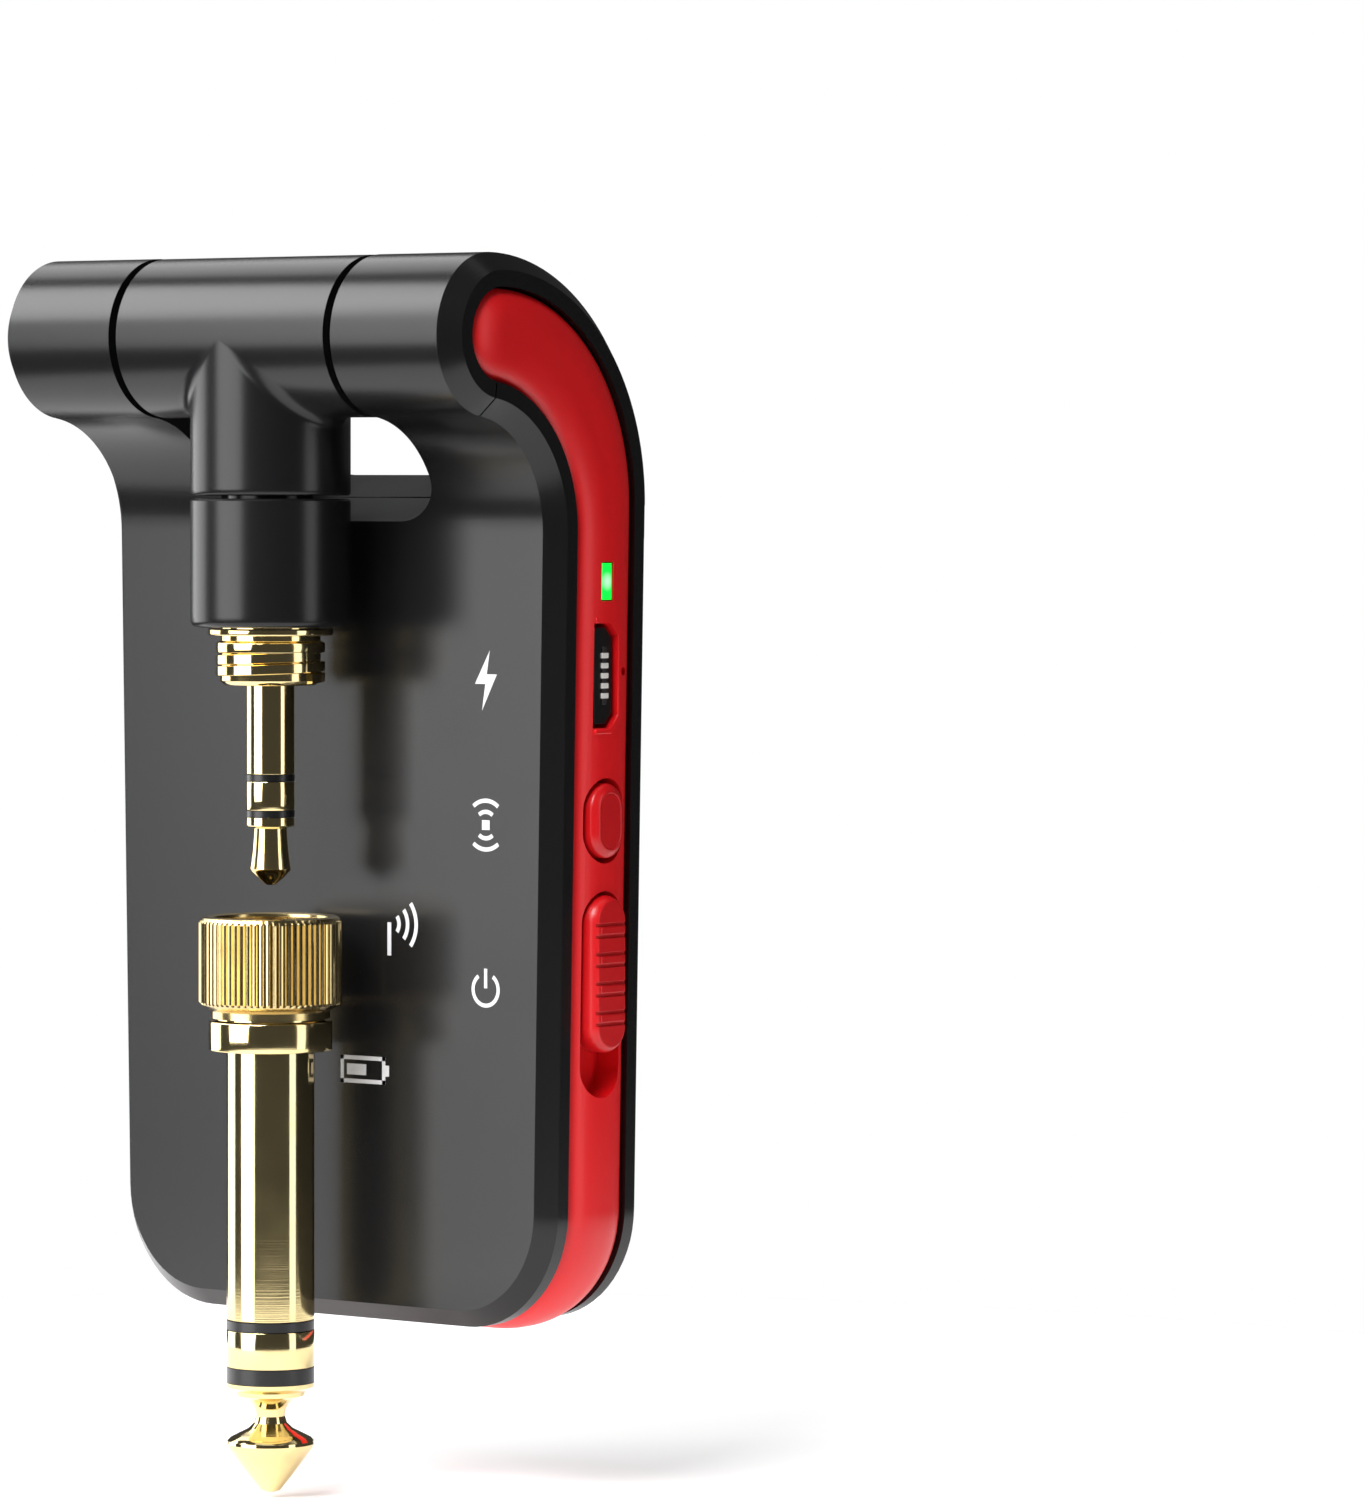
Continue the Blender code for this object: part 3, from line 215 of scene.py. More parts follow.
def cut(piece, tool, operation="DIFFERENCE"):
    """Cut one piece with another, or join them."""
    knife = piece.modifiers.new("cut", "BOOLEAN")
    knife.operation = operation
    knife.solver = "EXACT"
    knife.object = tool
    apply(piece, knife)
    bpy.data.objects.remove(tool, do_unlink=True)
    return piece


def copy_of(piece, name):
    """A copy with a mesh of its own."""
    twin = bpy.data.objects.new(name, piece.data.copy())
    bpy.context.scene.collection.objects.link(twin)
    return twin


def narrow(piece):
    """Draw the piece in towards its middle as it goes down, as the casing does."""
    for vertex in piece.data.vertices:
        offset = vertex.co - HINGE
        vertex.co.x = HINGE.x + offset.x * (1 + NARROWING * offset.z)
    return piece


# %% [markdown]
# ## The J outline
#
# Seen from the side, the casing is a J: a round barrel, a hollow bend under it, a flat face, a flat
# bottom and a long back that bends over into the barrel again. Straight stretches are extruded and
# each bend is a spin about its own centre. The hollow bend and the barrel touch on the line between
# their centres, so the angle of both spins comes from that line and the outline stays smooth.

# %% Draw the J as a solid
HOLLOW_Y = FACE_Y - HOLLOW
HOLLOW_Z = -math.sqrt((BARREL + HOLLOW) ** 2 - HOLLOW_Y ** 2)
MEET = math.degrees(math.atan2(-HOLLOW_Z, -HOLLOW_Y))
BEND_Z = BARREL - BEND


def j_solid(name, inset, half, bottom, corner, fine=1.0):
    """The J as a solid with rounded bottom corners, inset all round its side view."""
    first = (-half, FACE_Y + inset, bottom)
    steps = [(-half, FACE_Y + inset, HOLLOW_Z),
             ((-half, HOLLOW_Y, HOLLOW_Z), (1, 0, 0), MEET, round(24 * fine)),
             ((-half, 0, 0), (1, 0, 0), -(MEET + 90), round(48 * fine)),
             ((-half, 0, BEND_Z), (1, 0, 0), -90, round(36 * fine)),
             (-half, COVER_Y - inset, bottom), first]
    piece = pull(outline(name, first, steps), x=2 * half)
    edges = [e for e in piece.data.edges
             if all(abs(piece.data.vertices[v].co.z - at(0, 0, bottom).z) < 1e-6 for v in e.vertices)
             and abs(piece.data.vertices[e.vertices[0]].co.y
                     - piece.data.vertices[e.vertices[1]].co.y) > 1 * MM]
    choose(piece, "EDGE", edges)
    bpy.ops.mesh.bevel(offset=corner * MM, segments=round(16 * fine), profile=0.5, clamp_overlap=False)
    bpy.ops.object.mode_set(mode="OBJECT")
    return piece


def choose(piece, kind, items):
    """Select some faces, edges or points of a piece and go into edit mode on them."""
    numbers = [item.index for item in items]
    bpy.ops.object.select_all(action="DESELECT")
    bpy.context.view_layer.objects.active = piece
    piece.select_set(True)
    bpy.ops.object.mode_set(mode="EDIT")
    bpy.ops.mesh.select_mode(type=kind)
    bpy.ops.mesh.select_all(action="DESELECT")
    bpy.ops.object.mode_set(mode="OBJECT")
    mesh = piece.data
    everything = {"FACE": mesh.polygons, "EDGE": mesh.edges, "VERT": mesh.vertices}[kind]
    for number in numbers:
        everything[number].select = True
    bpy.ops.object.mode_set(mode="EDIT")


def sharp_edges(piece, degrees):
    """Go into edit mode with the edges selected that are sharper than an angle."""
    choose(piece, "EDGE", [])
    bpy.ops.mesh.edges_select_sharp(sharpness=math.radians(degrees))


def lofted(name, rings, closed):
    """A skin over rings of points. The last ring joins the first, or else both ends get a face."""
    count = len(rings[0])
    points = [tuple(at(*p)) for ring in rings for p in ring]
    faces = [] if closed else [tuple(range(count - 1, -1, -1)),
                               tuple(range(len(points) - count, len(points)))]
    for r in range(len(rings) if closed else len(rings) - 1):
        s = (r + 1) % len(rings)
        for i in range(count):
            j = (i + 1) % count
            faces.append((r * count + i, r * count + j, s * count + j, s * count + i))
    mesh = bpy.data.meshes.new(name)
    mesh.from_pydata(points, [], faces)
    piece = bpy.data.objects.new(name, mesh)
    bpy.context.scene.collection.objects.link(piece)
    choose(piece, "FACE", [])
    return outwards(piece)


# %% [markdown]
# ## Node helper and colours
#
# One small function adds a shader node with its settings and its links, and another turns a
# hexadecimal sRGB colour to the linear values that Blender's shaders want.

# %% Helpers for materials


def srgb(code):
    """Linear colour of a hexadecimal sRGB code."""
    parts = [int(code[i:i + 2], 16) / 255 for i in (0, 2, 4)]
    return (*[c / 12.92 if c <= 0.04045 else ((c + 0.055) / 1.055) ** 2.4 for c in parts], 1.0)


def put(tree, kind, links=(), **values):
    """Add one node. Values go to its sockets or settings, links are (socket, source) pairs."""
    node = tree.nodes.new(kind)
    for name, value in values.items():
        if name in node.inputs:
            node.inputs[name].default_value = value
        elif name.replace("_", " ") in node.inputs:
            node.inputs[name.replace("_", " ")].default_value = value
        else:
            setattr(node, name, value)
    for socket, source in links:
        tree.links.new(source, node.inputs[socket])
    return node


def new_material(name, **values):
    """A material with its shader; values are set directly on the shader's sockets."""
    material = bpy.data.materials.new(name)
    material.use_nodes = True
    tree = material.node_tree
    shader = tree.nodes["Principled BSDF"]
    for socket, value in values.items():
        shader.inputs[socket.replace("_", " ")].default_value = value
    material.diffuse_color = shader.inputs["Base Color"].default_value
    return material, tree, shader


# %% [markdown]
# ## Moulded black ABS, fine satin grain
#
# The casing is injection-moulded ABS, almost black, from a tool with a very fine spark-eroded grain.
# The grain blurs reflections a little and breaks them up, so lights slide over the face as soft,
# wide patches. Real grain is about 0.05 mm; it is drawn at about 0.15 mm so that it shows at all.
# Faint, wider swirls in the roughness stand for handling: skin oil polishes the surface unevenly.

# %% Black shell material


def grained(name, colour, roughness, spread, grain_mm, bump, specular=0.5, coat=0.0, mottle=0.12):
    """Moulded plastic: fine grain in the bump, wide soft patches in the roughness and colour."""
    material, tree, shader = new_material(name, Base_Color=srgb(colour), Roughness=roughness,
                                          Specular_IOR_Level=specular, Coat_Weight=coat,
                                          Coat_Roughness=0.12, IOR=1.53)
    place = put(tree, "ShaderNodeTexCoord")
    source = place.outputs["Object"]
    grain = put(tree, "ShaderNodeTexNoise", [("Vector", source)], Scale=1 / (grain_mm * MM), Detail=2.0,
                Roughness=0.55)
    patches = put(tree, "ShaderNodeTexNoise", [("Vector", source)], Scale=1 / (14 * MM), Detail=3.0,
                  Roughness=0.5)
    rough = put(tree, "ShaderNodeMapRange", [("Value", patches.outputs["Fac"])], From_Min=0.3,
                From_Max=0.7, To_Min=roughness - spread, To_Max=roughness + spread)
    tree.links.new(rough.outputs["Result"], shader.inputs["Roughness"])
    lighter = tuple(min(1.0, c * (1 + mottle) + 0.0006) for c in srgb(colour)[:3]) + (1.0,)
    darker = tuple(c * (1 - mottle) for c in srgb(colour)[:3]) + (1.0,)
    tone = put(tree, "ShaderNodeMix", [("Factor", grain.outputs["Fac"])], data_type="RGBA")
    tone.inputs[6].default_value = darker
    tone.inputs[7].default_value = lighter
    tree.links.new(tone.outputs[2], shader.inputs["Base Color"])
    relief = put(tree, "ShaderNodeBump", [("Height", grain.outputs["Fac"])], Strength=bump,
                 Distance=0.02 * MM)
    tree.links.new(relief.outputs["Normal"], shader.inputs["Normal"])
    return material


ABS_BLACK = grained("moulded_black_abs", "121213", 0.25, 0.012, 0.15, 0.16, specular=0.36)
# a darker, matt copy of the black for the window's sill: painted shade
SILL_PAINTED_SHADE = grained("sill_black_painted_shade", "0C0C0D", 0.6, 0.05, 0.2, 0.2, specular=0.12)

# %% [markdown]
# ## Red soft-touch band
#
# The band is a separate moulding in red, with a satin, slightly rubbery coat. Such a coat scatters
# light widely, so its highlights are broad and pale, and its colour deepens where it turns away.

# %% Red band material
SATIN_RED = grained("satin_red_polymer", "E01017", 0.36, 0.04, 0.12, 0.12, specular=0.42, mottle=0.06)
# the keys get a darker copy of the band's red: painted shade
RED_KEYS_PAINTED_SHADE = grained("satin_red_keys_painted_shade", "C40C13", 0.36, 0.04, 0.12, 0.12, specular=0.42, mottle=0.06)

# %% [markdown]
# ## Gold-plated brass
#
# The plugs are turned from brass and flash-plated with gold. A lathe leaves rings about 0.1 mm apart
# that the thin plating doesn't hide. They run round the plug, so the pattern changes only along its
# length: it is a noise drawn out sideways. A metal keeps Blender's default IOR.

# %% Gold materials


def turned_metal(name, colour, roughness, ring_mm, bump, tarnish="8A6A2A", tarnished=0.12):
    """Plated metal with lathe rings round the upright axis and a trace of tarnish."""
    material, tree, shader = new_material(name, Base_Color=srgb(colour), Metallic=1.0,
                                          Roughness=roughness)
    place = put(tree, "ShaderNodeTexCoord")
    source = place.outputs["Object"]
    along = put(tree, "ShaderNodeMapping", [("Vector", source)], Scale=(8.0, 8.0, 1 / (ring_mm * MM)))
    rings = put(tree, "ShaderNodeTexNoise", [("Vector", along.outputs["Vector"])], Scale=1.0,
                Detail=2.0, Roughness=0.5)
    clouds = put(tree, "ShaderNodeTexNoise", [("Vector", source)], Scale=1 / (3.0 * MM), Detail=3.0)
    rough = put(tree, "ShaderNodeMapRange", [("Value", clouds.outputs["Fac"])], From_Min=0.3,
                From_Max=0.7, To_Min=roughness * 0.8, To_Max=roughness * 1.35)
    tree.links.new(rough.outputs["Result"], shader.inputs["Roughness"])
    share = put(tree, "ShaderNodeMapRange", [("Value", clouds.outputs["Fac"])], From_Min=0.5,
                From_Max=0.75, To_Min=0.0, To_Max=tarnished)
    tone = put(tree, "ShaderNodeMix", [("Factor", share.outputs["Result"])], data_type="RGBA")
    tone.inputs[6].default_value = srgb(colour)
    tone.inputs[7].default_value = srgb(tarnish)
    tree.links.new(tone.outputs[2], shader.inputs["Base Color"])
    relief = put(tree, "ShaderNodeBump", [("Height", rings.outputs["Fac"])], Strength=bump,
                 Distance=0.01 * MM)
    tree.links.new(relief.outputs["Normal"], shader.inputs["Normal"])
    return material


GOLD = turned_metal("gold_plated_brass", "EFDAA0", 0.09, 0.12, 0.18)
# the knurl's gold is a darker copy: painted shade over the whole knurl; its higher roughness is its
# duller finish
KNURL_GOLD_PAINTED_SHADE = turned_metal("gold_knurl_painted_shade", "D6C08A", 0.16, 0.2, 0.2)
STEEL = turned_metal("bright_steel", "B9BBC0", 0.24, 0.1, 0.25, tarnish="7C7E84")

# %% [markdown]
# ## The small finishes
#
# The black rings in the plugs are moulded nylon, the light is a clear green window lit from behind,
# the print on the face is pale grey ink, and inside are the board, its chips, a foil-wrapped cell on
# foam and a few leads.

# %% Small materials
NYLON = grained("moulded_nylon", "0B0B0C", 0.3, 0.04, 0.08, 0.1)
INK = grained("pad_printed_ink", "C9C9CB", 0.45, 0.05, 0.06, 0.25, specular=0.3, mottle=0.05)
RUBBER = grained("friction_rubber", "121213", 0.7, 0.06, 0.1, 0.4)
SLEEVE = grained("lead_sleeve", "262628", 0.5, 0.05, 0.1, 0.2)
CHIP = grained("moulded_chip_epoxy", "1A1A1C", 0.55, 0.05, 0.08, 0.3)
# the contacts' bright non-metal white is painted glint on tinned metal
CONTACTS_PAINTED_GLINT = grained("contacts_painted_glint", "E4E2DE", 0.3, 0.05, 0.06, 0.2, mottle=0.05)
FOAM = grained("closed_cell_foam", "3A3A3C", 0.9, 0.05, 0.3, 0.8)
FOIL = grained("battery_foil", "A9ACB2", 0.35, 0.08, 0.6, 0.5)
FOIL.node_tree.nodes["Principled BSDF"].inputs["Metallic"].default_value = 0.7


def board_material():
    """Green solder mask over copper: the tracks show as slightly raised, lighter lines."""
    material, tree, shader = new_material("solder_mask_green", Base_Color=srgb("0F4A28"),
                                          Roughness=0.38, Coat_Weight=0.4)
    place = put(tree, "ShaderNodeTexCoord")
    turn = put(tree, "ShaderNodeMapping", [("Vector", place.outputs["Object"])],
               Rotation=(math.pi / 2, 0, 0))
    tracks = put(tree, "ShaderNodeTexBrick", [("Vector", turn.outputs["Vector"])], Scale=1 / (2.4 * MM),
                 Mortar_Size=0.06, Brick_Width=0.9, Row_Height=0.35,
                 Color1=srgb("0F4A28"), Color2=srgb("0D4224"), Mortar=srgb("2C7A44"))
    tree.links.new(tracks.outputs["Color"], shader.inputs["Base Color"])
    relief = put(tree, "ShaderNodeBump", [("Height", tracks.outputs["Fac"])], Strength=0.3,
                 Distance=0.03 * MM)
    tree.links.new(relief.outputs["Normal"], shader.inputs["Normal"])
    return material


def window_material():
    """A green window lit from behind by one small lamp, so its middle is almost white."""
    material, tree, shader = new_material("lit_green_window", Base_Color=srgb("10C832"),
                                          Roughness=0.2, Emission_Strength=1.6,
                                          Emission_Color=srgb("00FF3C"))
    place = put(tree, "ShaderNodeTexCoord")
    centre = HINGE + middle_of("light_pipe") * MM
    shift = put(tree, "ShaderNodeMapping", [("Vector", place.outputs["Object"])],
                Location=(-centre.x / (6 * MM), -centre.y / (0.75 * MM), -centre.z / (0.75 * MM)),
                Scale=(1 / (6 * MM), 1 / (0.75 * MM), 1 / (0.75 * MM)))
    glow = put(tree, "ShaderNodeTexGradient", [("Vector", shift.outputs["Vector"])],
               gradient_type="SPHERICAL")
    tone = put(tree, "ShaderNodeMix", [("Factor", glow.outputs["Fac"])], data_type="RGBA")
    tone.inputs[6].default_value = srgb("08F03A")
    tone.inputs[7].default_value = srgb("B8FFC4")
    tree.links.new(tone.outputs[2], shader.inputs["Emission Color"])
    return material


BOARD = board_material()
WINDOW = window_material()
print("materials:", len(bpy.data.materials))

# %% [markdown]
# ## Finishing a piece
#
# Each finished piece gets its material, smooth shading with sharp edges kept, and the body that it rides
# on.

# %% Finish


SLOTS = {ABS_BLACK: "black_shell", SATIN_RED: "red_band", RED_KEYS_PAINTED_SHADE: "red_band",
         GOLD: "gold_plate", KNURL_GOLD_PAINTED_SHADE: "gold_plate", CONTACTS_PAINTED_GLINT: "gold_plate",
         NYLON: "black_insulator", CHIP: "chip_black", WINDOW: "light_window"}


def finished(piece, material, body, replaces=(), degrees=32, slot=None):
    """Dress a piece, shade it and hang it on its moving body. The slot is worked out but not used."""
    piece.data.materials.clear()
    piece.data.materials.append(material)
    bpy.ops.object.select_all(action="DESELECT")
    bpy.context.view_layer.objects.active = piece
    piece.select_set(True)
    bpy.ops.object.shade_smooth_by_angle(angle=math.radians(degrees))
    even = piece.modifiers.new("even normals", "WEIGHTED_NORMAL")
    even.keep_sharp = True
    apply(piece, even)
    slot = slot or SLOTS.get(material)
    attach(piece, body)
    if replaces:
        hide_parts(*replaces)
    print("%-24s %6d faces on %s" % (piece.name, len(piece.data.polygons), body))
    return piece


# %% [markdown]
# ## The hollow casing
#
# The block is chamfered along its whole rim, hollowed with a smaller J, grooved for the red band and
# opened by the window in which the arm swings. It is made as one block and then parted, because both
# shells must follow the same outline: what is cut once fits on both sides.

# %% Casing block
CHAMFER = 1.27
LIP = 1.43
WALL = 1.5
SEAT = 2.44
SEAT_DEPTH = 3.03
WINDOW_HALF = 10.4
SILL_FACE = -13.2
SILL_SLOPE = (-9.8 - SILL_FACE) / (COVER_Y - FACE_Y)


def window_prism(name, grow):
    """The U-shaped window with its slanting sill, grown by a wall."""
    y0 = -20.0
    half = WINDOW_HALF + grow
    round_ = 3.5 + grow
    sill = SILL_FACE + SILL_SLOPE * (y0 - FACE_Y) - grow
    first = (-half, y0, 25.0)
    steps = [(-half, y0, sill + round_), ((round_ - half, y0, sill + round_), (0, 1, 0), -90, 12),
             (half - round_, y0, sill), ((half - round_, y0, sill + round_), (0, 1, 0), -90, 12),
             (half, y0, 25.0), first]
    return pull(outline(name, first, steps), y=50.0, z=50.0 * SILL_SLOPE)


def bar(name, low, high):
    """A block between two corners, drawn as its outline and pulled along x."""
    (x0, y0, z0), (x1, y1, z1) = low, high
    first = (x0, y0, z0)
    return pull(outline(name, first, [(x0, y1, z0), (x0, y1, z1), (x0, y0, z1), first]), x=x1 - x0)


def facet_wedge(side):
    """What is cut off for the side facet of the cover: it widens as it goes down."""
    levels = [(-12.0 - 41.0 * i / 16, 0.9 + 6.5 * i / 16) for i in range(17)] + [(BOTTOM_Z - 5, 7.4)]
    rows = []
    for z, width in levels:
        slope = 1.32 / width
        rows.append([(side * (HALF - width - 1.5), COVER_Y + slope * 1.5, z),
                     (side * (HALF - width), COVER_Y, z), (side * HALF, COVER_Y - 1.32, z),
                     (side * (HALF + 1.5), COVER_Y - 1.32 - slope * 1.5, z),
                     (side * (HALF + 1.5), COVER_Y + 3.0, z)])
    return lofted("facet_wedge", rows, False)


body = j_solid("casing_block", 0, HALF, BOTTOM_Z, CORNER)
sharp_edges(body, 60)
bpy.ops.mesh.bevel(offset=CHAMFER * MM, segments=1, clamp_overlap=False)
bpy.ops.object.mode_set(mode="OBJECT")
for side in (-1, 1):
    cut(body, facet_wedge(side))
soften(body, 0.14, 2, 22)
print("casing block:", len(body.data.polygons), "faces")

# %% [markdown]
# The window and the hinge bores are cut while the block is still solid. The window's edges are broken
# with a small radius as the mould has it.

# %% Window, bores, hollow and groove
cut(body, window_prism("window", 0))
soften(body, 0.22, 3, 60)
for side in (-1, 1):
    stepped = [(0.0, WINDOW_HALF - 0.3), (5.0, WINDOW_HALF - 0.3), (5.0, 11.6), (2.3, 11.6), (2.3, 13.7),
               (0.0, 13.7)]
    cut(body, turned("bore", [(r, side * x) for r, x in stepped], "X", 48))

hollow = j_solid("hollow", WALL, HALF - LIP, BOTTOM_Z + LIP, CORNER - LIP, 0.6)
cut(hollow, window_prism("window_wall", WALL))
cut(hollow, bar("bearing_wall", (-WINDOW_HALF - 3.0, -9, -BARREL - 0.4), (WINDOW_HALF + 3.0, 5, 9)))
cut(body, hollow)


def tablet_prism(name, inset):
    """A prism through the whole casing in y, inset from its sides and bottom."""
    half = HALF - inset
    low = BOTTOM_Z + inset
    r = CORNER - inset
    first = (-half, -20, 20)
    steps = [(-half, -20, low + r), ((r - half, -20, low + r), (0, 1, 0), -90, 16),
             (half - r, -20, low), ((half - r, -20, low + r), (0, 1, 0), -90, 16),
             (half, -20, 20), first]
    return pull(outline(name, first, steps), y=50)


groove = j_solid("groove", SEAT, 2 * HALF, 1.3 * BOTTOM_Z, CORNER)
cut(groove, tablet_prism("groove_core", SEAT_DEPTH))
cut(body, groove)
print("casing with window, bores, hollow and groove:", len(body.data.polygons), "faces")

# %% [markdown]
# ## Parting the casing
#
# The cover carries the two fixed barrels. The plug-side shell begins in the crease under the barrel.
# Both are copies of the block: each is cut with everything that belongs to the other.

# %% Cover and plug-side shell
CLOSE = 0.002     # points nearer than this are one point


def other_side(name, plug_side, grow=0.0):
    """Everything on one side of the middle of the band."""
    middle = (FACE_Y + COVER_Y) / 2
    radius = (HOLLOW + BEND) / 2
    away = 40.0
    angle = math.radians(MEET + 180)
    edge = (-away, away * math.cos(angle) - grow / 2, away * math.sin(angle))
    first = (-away, -grow / 2, 0)
    centre = (middle - radius, -radius + 0.1)
    start = math.radians(84)
    reach = radius + grow
    steps = [(-away, centre[0] + reach * math.cos(start), centre[1] + reach * math.sin(start)),
             ((-away, *centre), (1, 0, 0), -84, 30), (-away, middle + grow, -100)]
    if plug_side:
        steps += [(-away, -away, -100), (-away, -away, edge[2]), edge, first]
    else:
        steps += [(-away, away, -100), (-away, away, away), (-away, -away, away),
                  (-away, -away, edge[2]), edge, first]
    return pull(outline(name, first, steps), x=2 * away)


cover = cut(copy_of(body, "casing_cover"), other_side("plug_half", True, 0.3))
shell = cut(copy_of(body, "casing_plug_side"), other_side("cover_half", False))
bpy.data.objects.remove(body, do_unlink=True)
for piece in (cover, shell):
    choose(piece, "VERT", piece.data.vertices)
    bpy.ops.mesh.remove_doubles(threshold=CLOSE * MM)
    bpy.ops.mesh.dissolve_degenerate(threshold=CLOSE / 2 * MM)
    bpy.ops.object.mode_set(mode="OBJECT")

# %% [markdown]
# The board stands on four bosses inside the plug-side shell, each with a hole for its screw.

# %% Bosses
base = FACE_Y + WALL
for number in (1, 2, 3, 4):
    centre = middle_of("board_screw_%d" % number)
    centre.y = 0
    cut(shell, rod("boss", 1.8, base - 0.5, base + 1.3, "Y", 32, centre), "UNION")
    cut(shell, rod("pilot", 1.0, base + 0.2, base + 3, "Y", 24, centre))
choose(shell, "VERT", shell.data.vertices)
bpy.ops.mesh.remove_doubles(threshold=CLOSE * MM)
bpy.ops.object.mode_set(mode="OBJECT")
narrow(cover)
narrow(shell)
finished(cover, ABS_BLACK, "casing", ["cover_shell"], 9)
finished(shell, ABS_BLACK, "casing", ["plug_side_shell"], 25)

# %% [markdown]
# The window's sill gets a darker, matt copy of the black: painted shade that keeps it dark.

# %% Matt sill with painted shade
# the sill's up-facing faces take the painted shade
for piece in (cover, shell):
    piece.data.materials.append(SILL_PAINTED_SHADE)
    count = 0
    for face in piece.data.polygons:
        place = (face.center - HINGE) / MM
        if abs(place.x) < WINDOW_HALF - 0.05 and -17 < place.z < -5 and face.normal.z > 0.7:
            face.material_index = 1
            count += 1
    print(piece.name, "has", count, "matt faces on its sill")

# %% [markdown]
# ## The red band
#
# The band is a J as well, thinner than the casing. Its outer side is a rounded bead. The strip that
# runs down one side, round the bottom and up the other is selected as one region, and is inset again
# and again by small steps that follow an ellipse: narrower and higher each time.

# %% Band
CROWN = HALF + 0.45
BEAD_HEIGHT = 1.2
BEAD_SPREAD = 2.9
BAND_WALL = 2.73


def crown_at(z):
    """How far the band's crown is from the middle at a height."""
    return CROWN * (1 + NARROWING * MM * z)


def beaded(name, inset, height, spread, steps):
    """A J whose rim is rounded by repeated insets."""
    piece = j_solid(name, inset, CROWN - height, BOTTOM_Z - 0.45 + height, CORNER + 0.45 - height, 1.4)
    strip = []
    for face in piece.data.polygons:
        low_side = face.center.z < at(0, 0, BOTTOM_Z + CORNER).z and abs(face.normal.y) < 0.5
        if abs(face.normal.x) > 0.9 or low_side:
            strip.append(face)
    choose(piece, "FACE", strip)
    for i in range(steps):
        a0 = math.radians(90 * i / steps)
        a1 = math.radians(90 * (i + 1) / steps)
        run = spread * ((1 - math.cos(a1)) - (1 - math.cos(a0)))
        rise = height * (math.sin(a1) - math.sin(a0))
        bpy.ops.mesh.inset(thickness=run * MM, depth=rise * MM, use_boundary=True, use_even_offset=True)
    bpy.ops.object.mode_set(mode="OBJECT")
    return piece


band = beaded("red_band", SEAT + 0.12, BEAD_HEIGHT, BEAD_SPREAD, 9)
cut(band, tablet_prism("band_core", BAND_WALL))

# %% [markdown]
# The openings along its right side are cut with outlines pulled along x: a stadium for the button and
# the slider's recess, a chamfered box for the charging port, a small window for the light and a
# needle-thin reset hole.

# %% Openings in the band
LIGHT = middle_of("light_pipe")
PORT = middle_of("usb_socket")
BUTTON = middle_of("pair_button")
KNOB = middle_of("power_slider")
KEY_Y = BUTTON.y


def stadium(x, centre, wide, tall, count=14):
    """Round-ended outline in y and z about a centre, as a first point and the steps after it."""
    r = wide / 2
    reach = tall / 2 - r
    y, z = centre
    first = (x, y + r, z - reach)
    return first, [(x, y + r, z + reach), ((x, y, z + reach), (1, 0, 0), 180, count),
                   (x, y - r, z - reach), ((x, y, z - reach), (1, 0, 0), 180, count)]


def port_shape(x, grow):
    """Charging port's outline: straight on the plug's side, chamfered on the cover's side."""
    y = 1.3 + grow
    z = 3.75 + grow
    c = 0.9 + 0.4 * grow
    corners = [(-y, -z), (y - c, -z), (y, c - z), (y, z - c), (y - c, z), (-y, z)]
    points = [(x, PORT.y + a, PORT.z + b) for a, b in corners]
    return points[0], points[1:] + [points[0]]


def rect_shape(x, centre, wide, tall):
    """Rectangle in y and z."""
    y, z = centre
    points = [(x, y - wide / 2, z - tall / 2), (x, y + wide / 2, z - tall / 2),
              (x, y + wide / 2, z + tall / 2), (x, y - wide / 2, z + tall / 2)]
    return points[0], points[1:] + [points[0]]


NEAR = 0.7 * CROWN
cut(band, pull(outline("light_hole", *rect_shape(NEAR, (LIGHT.y, LIGHT.z), 1.3, 2.8)), x=9))
cut(band, pull(outline("port_hole", *port_shape(NEAR, 0)), x=9))
cut(band, pull(outline("button_hole", *stadium(NEAR, (KEY_Y, BUTTON.z), 4.45, 6.15)), x=9))
floor_x = crown_at(-47.1) - 1.5
cut(band, pull(outline("recess", *stadium(floor_x, (KEY_Y, -47.1), 4.4, 14.9)), x=6))
cut(band, pull(outline("lever_slot", *rect_shape(NEAR, (KEY_Y, KNOB.z - 1.3), 2.6, 5.8)), x=9))
RESET = (0, 14.15, -23.9)
cut(band, rod("reset_hole", 0.34, 19.4, 23, "X", 20, RESET))
narrow(band)
finished(band, SATIN_RED, "casing", ["mid_frame"], 28)

# a black plug deep in the reset hole: painted shade at its end
plug = rod("reset_hole_painted_shade", 0.4, 19.0, 20.2, "X", 20, RESET)
finished(plug, NYLON, "casing", slot="chip_black")

# %% [markdown]
# A low raised rim frames the port, as if pressed out of the band. It is the port's outline filled and
# pulled, with the inside of it taken out and its edges rounded.

# %% Port rim
rim_x = crown_at(PORT.z)
rim = pull(outline("port_rim", *port_shape(rim_x - 0.9, 0.42)), x=0.92)
cut(rim, pull(outline("port_rim_hole", *port_shape(rim_x - 2, 0.05)), x=4))
cut(rim, bar("port_rim_side", (rim_x - 2, PORT.y - 4, PORT.z - 6), (rim_x + 2, PORT.y - 1.2, PORT.z + 6)))
soften(rim, 0.1, 3, 40)
finished(rim, SATIN_RED, "casing")

# %% [markdown]
# ## The push button and the slider
#
# The button is a round-ended key with a sloping flank and a flat top. It is drawn as its outline,
# pulled up, and its top face is inset twice, first lower than it is wide, for the flank.

# %% Button


